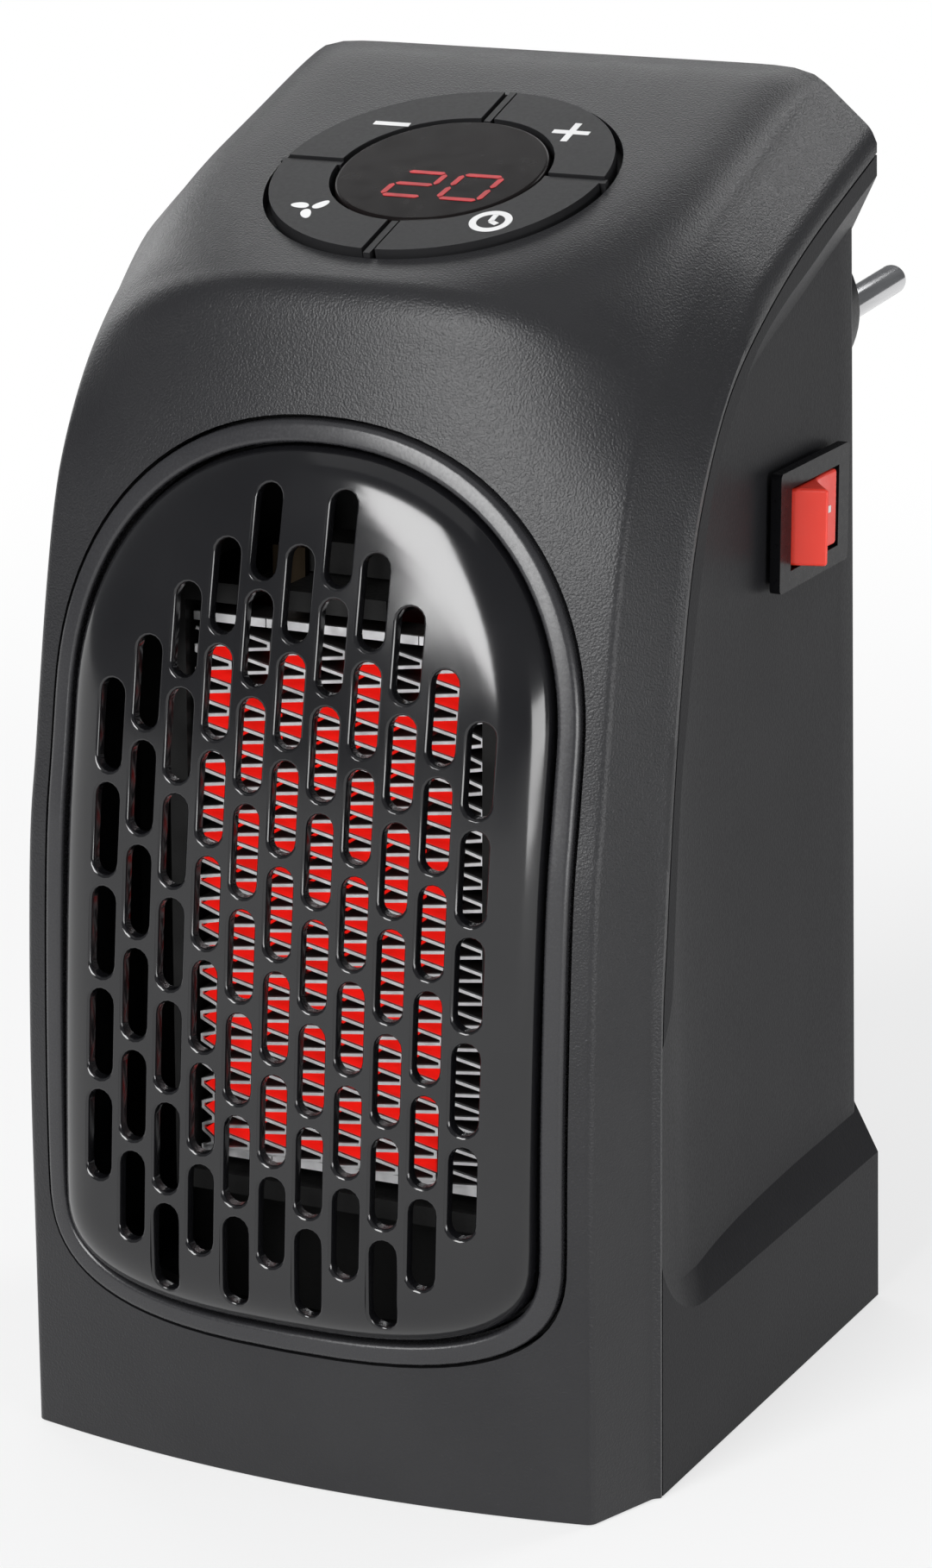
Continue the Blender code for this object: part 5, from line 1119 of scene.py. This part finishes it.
def make_plug():
    """The plug's round body and its two pins."""
    size = PLUG_RADIUS - PLUG_FACE_RADIUS
    profile = [(0, -PLUG_HUB_LENGTH), (PLUG_HUB_RADIUS, -PLUG_HUB_LENGTH)]
    profile += [(PLUG_HUB_RADIUS, FIT_GAP), (PLUG_RADIUS, FIT_GAP)]
    profile += [(PLUG_FACE_RADIUS + size * c, PLUG_PROUD - size * (1 - s)) for s, c in quarter_turn(8)]
    profile.append((0, PLUG_PROUD))
    seat, end = PLUG_PROUD / 4, PLUG_PROUD + PIN_LENGTH
    tip = [(PIN_RADIUS - PIN_TIP_ROUNDING * (1 - c), end - PIN_TIP_ROUNDING * (1 - s)) for s, c in quarter_turn(6)]
    pin = [(0, seat + FIT_GAP), (PIN_RADIUS, seat + FIT_GAP), *tip, (0, end)]
    bores = []
    for side, name in ((-1, "plug_pin_left"), (1, "plug_pin_right")):
        place = PLUG_FRAME @ move(side * PIN_SPACING / 2, 0, 0)
        bores.append(cylinder("bore", PIN_RADIUS + FIT_GAP, seat, PLUG_PROUD + OVERRUN, place, segments=40))
        mesh = turned(name, pin, place, steps=40)
        piece(f"{name}_bright", mesh, "plug", CHROME, name, sharp=40, slot="plated_steel")
    mesh = solid(turned("plug", profile, PLUG_FRAME), ("DIFFERENCE", merged("bores", bores)))
    piece("plug_turntable", mesh, "plug", SWITCH, "plug_body", bevel=0.0002, sharp=40, slot="plug_black")


# Materials


def feed(target, **settings):
    """Sets a node's properties, and its inputs by links or values."""
    for key, value in settings.items():
        socket = key.replace("_", " ")
        if socket in target.inputs:
            assign(target.inputs[socket], value)
        else:
            setattr(target, key, value)


def assign(socket, value):
    if isinstance(value, bpy.types.NodeSocket):
        socket.id_data.links.new(value, socket)
    else:
        socket.default_value = value


def node(beside, kind, **settings):
    """A new shader node in the tree of a node or socket."""
    made = beside.id_data.nodes.new("ShaderNode" + kind)
    feed(made, **settings)
    return made


def maths(operation, source, *values):
    """The result of a calculation with a source, and values or other sources."""
    made = node(source, "Math", operation=operation)
    for socket, value in zip(made.inputs, (source, *values)):
        assign(socket, value)
    return made.outputs[0]


def mapped(source, start, end, low, high, **settings):
    """The source's range from start to end as a range from low to high."""
    settings.update(Value=source, From_Min=start, From_Max=end, To_Min=low, To_Max=high)
    return node(source, "MapRange", **settings).outputs["Result"]


def above(source, limit, soft):
    """0 below a limit and 1 above it, with a soft step between."""
    return mapped(source, limit - soft, limit + soft, 0, 1, interpolation_type="SMOOTHSTEP")


def scaled(noise, low, high):
    return mapped(noise, *NOISE_RANGE, low, high)


def place_of(beside):
    """Coordinates in the part's frame, in metres."""
    return node(beside, "TexCoord").outputs["Object"]


def noise_of(beside, scale, detail=2.0, stretch=(1, 1, 1)):
    place = node(beside, "Mapping", Scale=stretch, Vector=place_of(beside)).outputs["Vector"]
    return node(beside, "TexNoise", Scale=scale, Detail=detail, Vector=place).outputs["Fac"]


def ramp(noise, low, high):
    """A colour from low to high."""
    made = node(noise, "ValToRGB", Fac=noise)
    for element, place, colour in zip(made.color_ramp.elements, NOISE_RANGE, (low, high)):
        element.position = place
        element.color = (*colour, 1)
    return made.outputs["Color"]


def bumped(height, strength, distance):
    return node(height, "Bump", Strength=strength, Distance=distance, Height=height).outputs["Normal"]


def new_material(name, roughness, **settings):
    """A new material and its shader."""
    made = bpy.data.materials.new(name)
    made.use_nodes = True
    shader = made.node_tree.nodes["Principled BSDF"]
    feed(shader, Roughness=roughness, **settings)
    return made, shader


def plastic(name, low, high, rough, grain, bump, specular=0.5):
    """Moulded plastic: slow drift of tone, and a fine grain in its gloss and its surface."""
    made, shader = new_material(name, sum(rough) / 2, Specular_IOR_Level=specular)
    drift, fine = noise_of(shader, PLASTIC_DRIFT, detail=3.0), noise_of(shader, grain)
    feed(shader, Base_Color=ramp(drift, low, high), Roughness=scaled(fine, *rough), Normal=bumped(fine, *bump))
    return made


def metal(name, low, high, rough, stretch):
    """Metal with drawn or rolled streaks along the axis that stretch leaves short."""
    made, shader = new_material(name, sum(rough) / 2, Metallic=1.0)
    streaks = noise_of(shader, METAL_STREAKS, 3.0, stretch)
    feed(shader, Base_Color=ramp(streaks, low, high), Roughness=scaled(streaks, *rough))
    feed(shader, Normal=bumped(streaks, 0.15, 0.00002))
    return made


def foil_material():
    """Folded foil: bright leaf edges, faces behind them painted dark as shade, and a painted red glow on rising leaves
    within set bounds, though the foil is no lamp.
    """
    made, shader = new_material("foil_leaves_painted_glow_and_shade", 0.4)
    x, y, z = node(shader, "SeparateXYZ", Vector=place_of(shader)).outputs
    normal = node(shader, "NewGeometry").outputs["True Normal"]
    facing = node(shader, "SeparateXYZ", Vector=normal).outputs
    # Behind the leaf edges: painted shade makes the foil dark and not metal, and the painted glow may show there
    deep_painted_shade_and_glow = above(y, FOIL_FRONT + LEAF_EDGE, LEAF_EDGE / 3)
    across = maths("MULTIPLY_ADD", maths("SUBTRACT", y, FOIL_FRONT), PAINTED_GLOW_SLANT, x)
    across = maths("MULTIPLY_ADD", maths("SUBTRACT", z, FOIL_LEAN_Z), -FOIL_LEAN, across)
    stripe = maths("PINGPONG", maths("SUBTRACT", across, FOIL_CENTRE), FOIL_PITCH)
    higher = above(stripe, FOIL_PITCH / 2, PAINTED_GLOW_SOFT)
    top = maths("MULTIPLY_ADD", higher, PAINTED_GLOW_TOP - PAINTED_GLOW_TOP_LOWER, PAINTED_GLOW_TOP_LOWER)
    past_left, past_right = (above(across, limit, PAINTED_GLOW_SOFT) for limit in PAINTED_GLOW_X)
    # Bounds of the painted glow: under its top, between its sides, on rising leaves, in uneven patches
    lit = (
        above(maths("SUBTRACT", top, z), 0.0, PAINTED_GLOW_SOFT), past_left, maths("MULTIPLY_ADD", past_right, -1.0, 1.0),
        above(facing["X"], *RISING_X), above(facing["Z"], *RISING_Z), scaled(noise_of(shader, PAINTED_GLOW_PATCHES), 0.75, 1.0),
    )
    glow = maths("MULTIPLY", deep_painted_shade_and_glow, PAINTED_GLOW_STRENGTH)
    for part in lit:
        glow = maths("MULTIPLY", glow, part)
    streaks = noise_of(shader, FOIL_STREAKS)
    bright = ramp(streaks, (0.80, 0.80, 0.81), (0.92, 0.92, 0.93))
    # Painted shade: the foil is nearly black behind its leaf edges
    tone = node(shader, "Mix", data_type="RGBA", Factor=deep_painted_shade_and_glow, A=bright, B=(0.012, 0.010, 0.010, 1))
    feed(shader, Base_Color=tone.outputs["Result"], Emission_Color=(*PAINTED_GLOW_COLOUR, 1), Emission_Strength=glow)
    feed(shader, Metallic=scaled(deep_painted_shade_and_glow, 1.0, 0.0), Roughness=scaled(streaks, 0.3, 0.5))
    feed(shader, Normal=bumped(streaks, 0.2, 0.00002))
    return made


def glowing(name, colour, strength):
    """A lit stroke, a little uneven along its length."""
    made, shader = new_material(name, 0.4, Emission_Color=(*colour, 1))
    slow = noise_of(shader, DIGIT_PATCHES)
    low, high = (tuple(value * share for value in colour) for share in (0.4, 0.6))
    feed(shader, Base_Color=ramp(slow, low, high), Emission_Strength=scaled(slow, strength * 0.8, strength * 1.2))
    return made


def board_material():
    """Green solder mask over tracks that show as slightly raised and lighter paths."""
    made, shader = new_material("board_mask", 0.35)
    mask = {"Color1": (0.016, 0.13, 0.045, 1), "Color2": (0.02, 0.16, 0.06, 1), "Mortar": (0.05, 0.26, 0.10, 1)}
    tracks = node(shader, "TexBrick", Scale=260.0, Vector=place_of(shader), **mask).outputs
    feed(shader, Base_Color=tracks["Color"], Normal=bumped(tracks["Fac"], 0.3, 0.00005))
    return made


def winding_material():
    """Copper wire wound in even turns."""
    made, shader = new_material("winding_copper", 0.35, Metallic=1.0)
    wave = node(shader, "TexWave", bands_direction="Y", Scale=1200.0, Distortion=0.4, Vector=place_of(shader))
    turns = wave.outputs["Fac"]
    feed(shader, Base_Color=ramp(turns, (0.32, 0.10, 0.04), (0.78, 0.36, 0.18)), Normal=bumped(turns, 0.5, 0.0001))
    return made


def grey(*values):
    """A grey for each value."""
    return [(value, value, value) for value in values]


def dress_inner_nodes():
    """The CAD nodes that stay get a worked material each."""
    # Name, low and high colour, roughness, scale of the grain and bump of a plastic, and its nodes
    plastics = (
        (
            "inner_moulding", *grey(0.006, 0.011), (0.5, 0.65), 1500.0, (0.2, 0.00003), 0.24,
            "thermal_cutout element_frame bulkhead fan_frame tact_plus tact_minus tact_speed tact_timer",
        ),
        (
            "fan_moulding", (0.03, 0.03, 0.033), (0.045, 0.045, 0.05), (0.4, 0.5), 1200.0, (0.12, 0.00002),
            "fan_impeller",
        ),
        ("relay_case", (0.02, 0.08, 0.32), (0.03, 0.12, 0.42), (0.35, 0.45), 900.0, (0.1, 0.00002), "relay"),
        ("capacitor_case", (0.02, 0.02, 0.04), (0.04, 0.04, 0.08), (0.3, 0.4), 600.0, (0.1, 0.00002), "capacitor"),
        ("module_case", *grey(0.01, 0.018), (0.2, 0.3), 900.0, (0.05, 0.00001), "display_module"),
    )
    # Name, low and high colour, roughness and stretch of a metal, and its nodes
    metals = (
        (
            "terminal_metal", (0.62, 0.44, 0.18), (0.8, 0.62, 0.32), (0.25, 0.4), (1, 1, 0.05),
            "switch_spade_front switch_spade_rear",
        ),
        (
            "terminal_browned", (0.030, 0.022, 0.014), (0.055, 0.040, 0.026), (0.45, 0.6), (1, 1, 0.05),
            "ptc_terminal_left ptc_terminal_right",
        ),
        (
            "screw_metal", (0.45, 0.45, 0.47), (0.62, 0.62, 0.64), (0.25, 0.45), (1, 1, 0.3),
            "case_screw_low_left case_screw_low_right case_screw_high",
        ),
    )
    finishes = [(plastic(*row), names) for *row, names in plastics]
    finishes += [(metal(*row), names) for *row, names in metals]
    finishes += [(board_material(), "power_board control_board"), (winding_material(), "fan_stator")]
    finishes.append((SWITCH, "plug_retainer"))
    for finish, names in finishes:
        for name in names.split():
            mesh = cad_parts[name].data
            mesh.materials.clear()
            mesh.materials.append(finish)


# Stage, lights and camera


def make_stage():
    """A wide pale floor. It shows near white to the camera and keeps the object's shadow."""
    bm = bmesh.new()
    bmesh.ops.create_circle(bm, cap_ends=True, segments=96, radius=FLOOR_RADIUS)
    floor = linked("floor", mesh_from("floor", bm, move(0, 0, -FLOOR_DROP)))
    made = bpy.data.materials.new("floor_pale")
    made.use_nodes = True
    tree = made.node_tree
    tree.nodes.clear()
    diffuse = node(tree, "BsdfDiffuse", Color=ramp(noise_of(tree, FLOOR_DRIFT), FLOOR_LOW, FLOOR_HIGH))
    white = node(tree, "Emission", Strength=1.0)
    path = node(tree, "LightPath").outputs
    seen = maths("MAXIMUM", path["Is Camera Ray"], path["Is Glossy Ray"])
    seen = maths("MAXIMUM", seen, path["Is Transmission Ray"])
    distance = node(tree, "VectorMath", operation="LENGTH", Vector=place_of(tree)).outputs["Value"]
    far = mapped(distance, *FLOOR_FADE, FLOOR_WHITE_SHARE, 1, interpolation_type="SMOOTHSTEP")
    mix = node(tree, "MixShader", Fac=maths("MULTIPLY", seen, far))
    for socket, source in zip(mix.inputs[1:], (diffuse, white)):
        assign(socket, source.outputs[0])
    node(tree, "OutputMaterial", Surface=mix.outputs[0])
    floor.data.materials.append(made)


def make_world():
    world = bpy.data.worlds.new("studio")
    bpy.context.scene.world = world
    world.use_nodes = True
    feed(world.node_tree.nodes["Background"], Color=(*WORLD_COLOUR, 1), Strength=WORLD_STRENGTH)


def softbox(name, place, aim, size, watts):
    """A rectangular soft lamp at a place, turned towards a point."""
    data = bpy.data.lights.new(name, "AREA")
    data.shape = "RECTANGLE"
    data.size, data.size_y = size
    data.energy = watts
    lamp = linked(name, data)
    lamp.location = place
    lamp.rotation_euler = (Vector(aim) - Vector(place)).to_track_quat("-Z", "Y").to_euler()


def make_camera():
    data = bpy.data.cameras.new("camera")
    camera = linked("camera", data)
    camera.location = CAMERA_PLACE
    camera.rotation_euler = (pi / 2 - CAMERA_ELEVATION, 0, CAMERA_AZIMUTH)
    data.sensor_fit = "VERTICAL"
    data.sensor_height = SENSOR_HEIGHT
    data.lens = CAMERA_FOCAL_PIXELS * SENSOR_HEIGHT / PHOTO_HEIGHT
    data.clip_start = 0.01
    bpy.context.scene.camera = camera


PANEL_FRAME = panel_frame()
# Frame on the rear face: local Z along its outward normal, local X to the right in plan
PLUG_FRAME = move(PLUG_X, rear_y(PLUG_Z), PLUG_Z) @ rotate(-pi / 2 + atan(REAR_LEAN), "X")
SWITCH_FRAME = move(PANEL_HALF_WIDTH, SWITCH_Y, SWITCH_Z) @ FACING_SIDE
GRILLE_PROFILE = smooth_curve(side_points(GRILLE_PROFILE_SHARES))
# The y of the front of the foils, behind the middle of the grille
FOIL_FRONT = float(np.interp(ELEMENT_CENTRE_Z, GRILLE_PROFILE[:, 1], GRILLE_PROFILE[:, 0])) + ELEMENT_BEHIND_GRILLE

HOUSING = plastic(
    "housing_moulded", (0.013, 0.013, 0.0145), (0.017, 0.017, 0.0185), (0.34, 0.40), 3600.0, (0.9, 0.00009),
    specular=0.36,
)
REAR_HOUSING = plastic(
    "rear_housing_moulded", (0.014, 0.014, 0.0155), (0.017, 0.017, 0.0185), (0.32, 0.40), 2600.0, (0.4, 0.00006),
    specular=0.035,
)
RING = plastic("ring_moulded", (0.019, 0.019, 0.021), (0.024, 0.024, 0.026), (0.24, 0.30), 2600.0, (0.2, 0.00004))
GLOSS = plastic(
    "grille_polished", (0.005, 0.005, 0.006), (0.008, 0.008, 0.009), (0.10, 0.15), 90.0, (0.04, 0.0002),
    specular=0.6,
)
SATIN = plastic(
    "keys_satin", (0.014, 0.014, 0.015), (0.018, 0.018, 0.019), (0.34, 0.42), 1800.0, (0.12, 0.00003),
    specular=0.13,
)
SMOKED = plastic(
    "lens_smoked", (0.006, 0.005, 0.005), (0.009, 0.007, 0.007), (0.22, 0.28), 400.0, (0.02, 0.00002),
    specular=0.06,
)
SWITCH = plastic(
    "switch_black", (0.005, 0.005, 0.006), (0.008, 0.008, 0.009), (0.26, 0.34), 1600.0, (0.14, 0.00003),
    specular=0.10,
)
RED = plastic("rocker_moulded", (0.76, 0.036, 0.018), (0.86, 0.046, 0.024), (0.30, 0.40), 1400.0, (0.10, 0.00003))
MARKS = plastic("printed_marks", *grey(0.70, 0.82), (0.45, 0.55), 2000.0, (0.1, 0.00001))
CHROME = metal("pin_plating", (0.42, 0.42, 0.43), (0.56, 0.56, 0.57), (0.10, 0.20), (1, 0.05, 1))
DIGITS = glowing("digits_lit", (0.46, 0.008, 0.014), 0.45)
FOIL_PAINTED_GLOW_AND_SHADE = foil_material()
WRAP = plastic("ptc_insulation", (0.030, 0.026, 0.022), (0.050, 0.044, 0.038), (0.5, 0.7), 900.0, (0.3, 0.00003))

front_tree = make_front_shell()
make_rear_shell()
make_ring(front_tree)
make_grille(front_tree)
make_fins()
make_control_panel()
make_marks()
make_switch()
make_rocker()
make_plug()
dress_inner_nodes()

make_stage()
make_world()
for lamp in LAMPS:
    softbox(*lamp)
make_camera()
bpy.context.scene.view_settings.view_transform = "Standard"
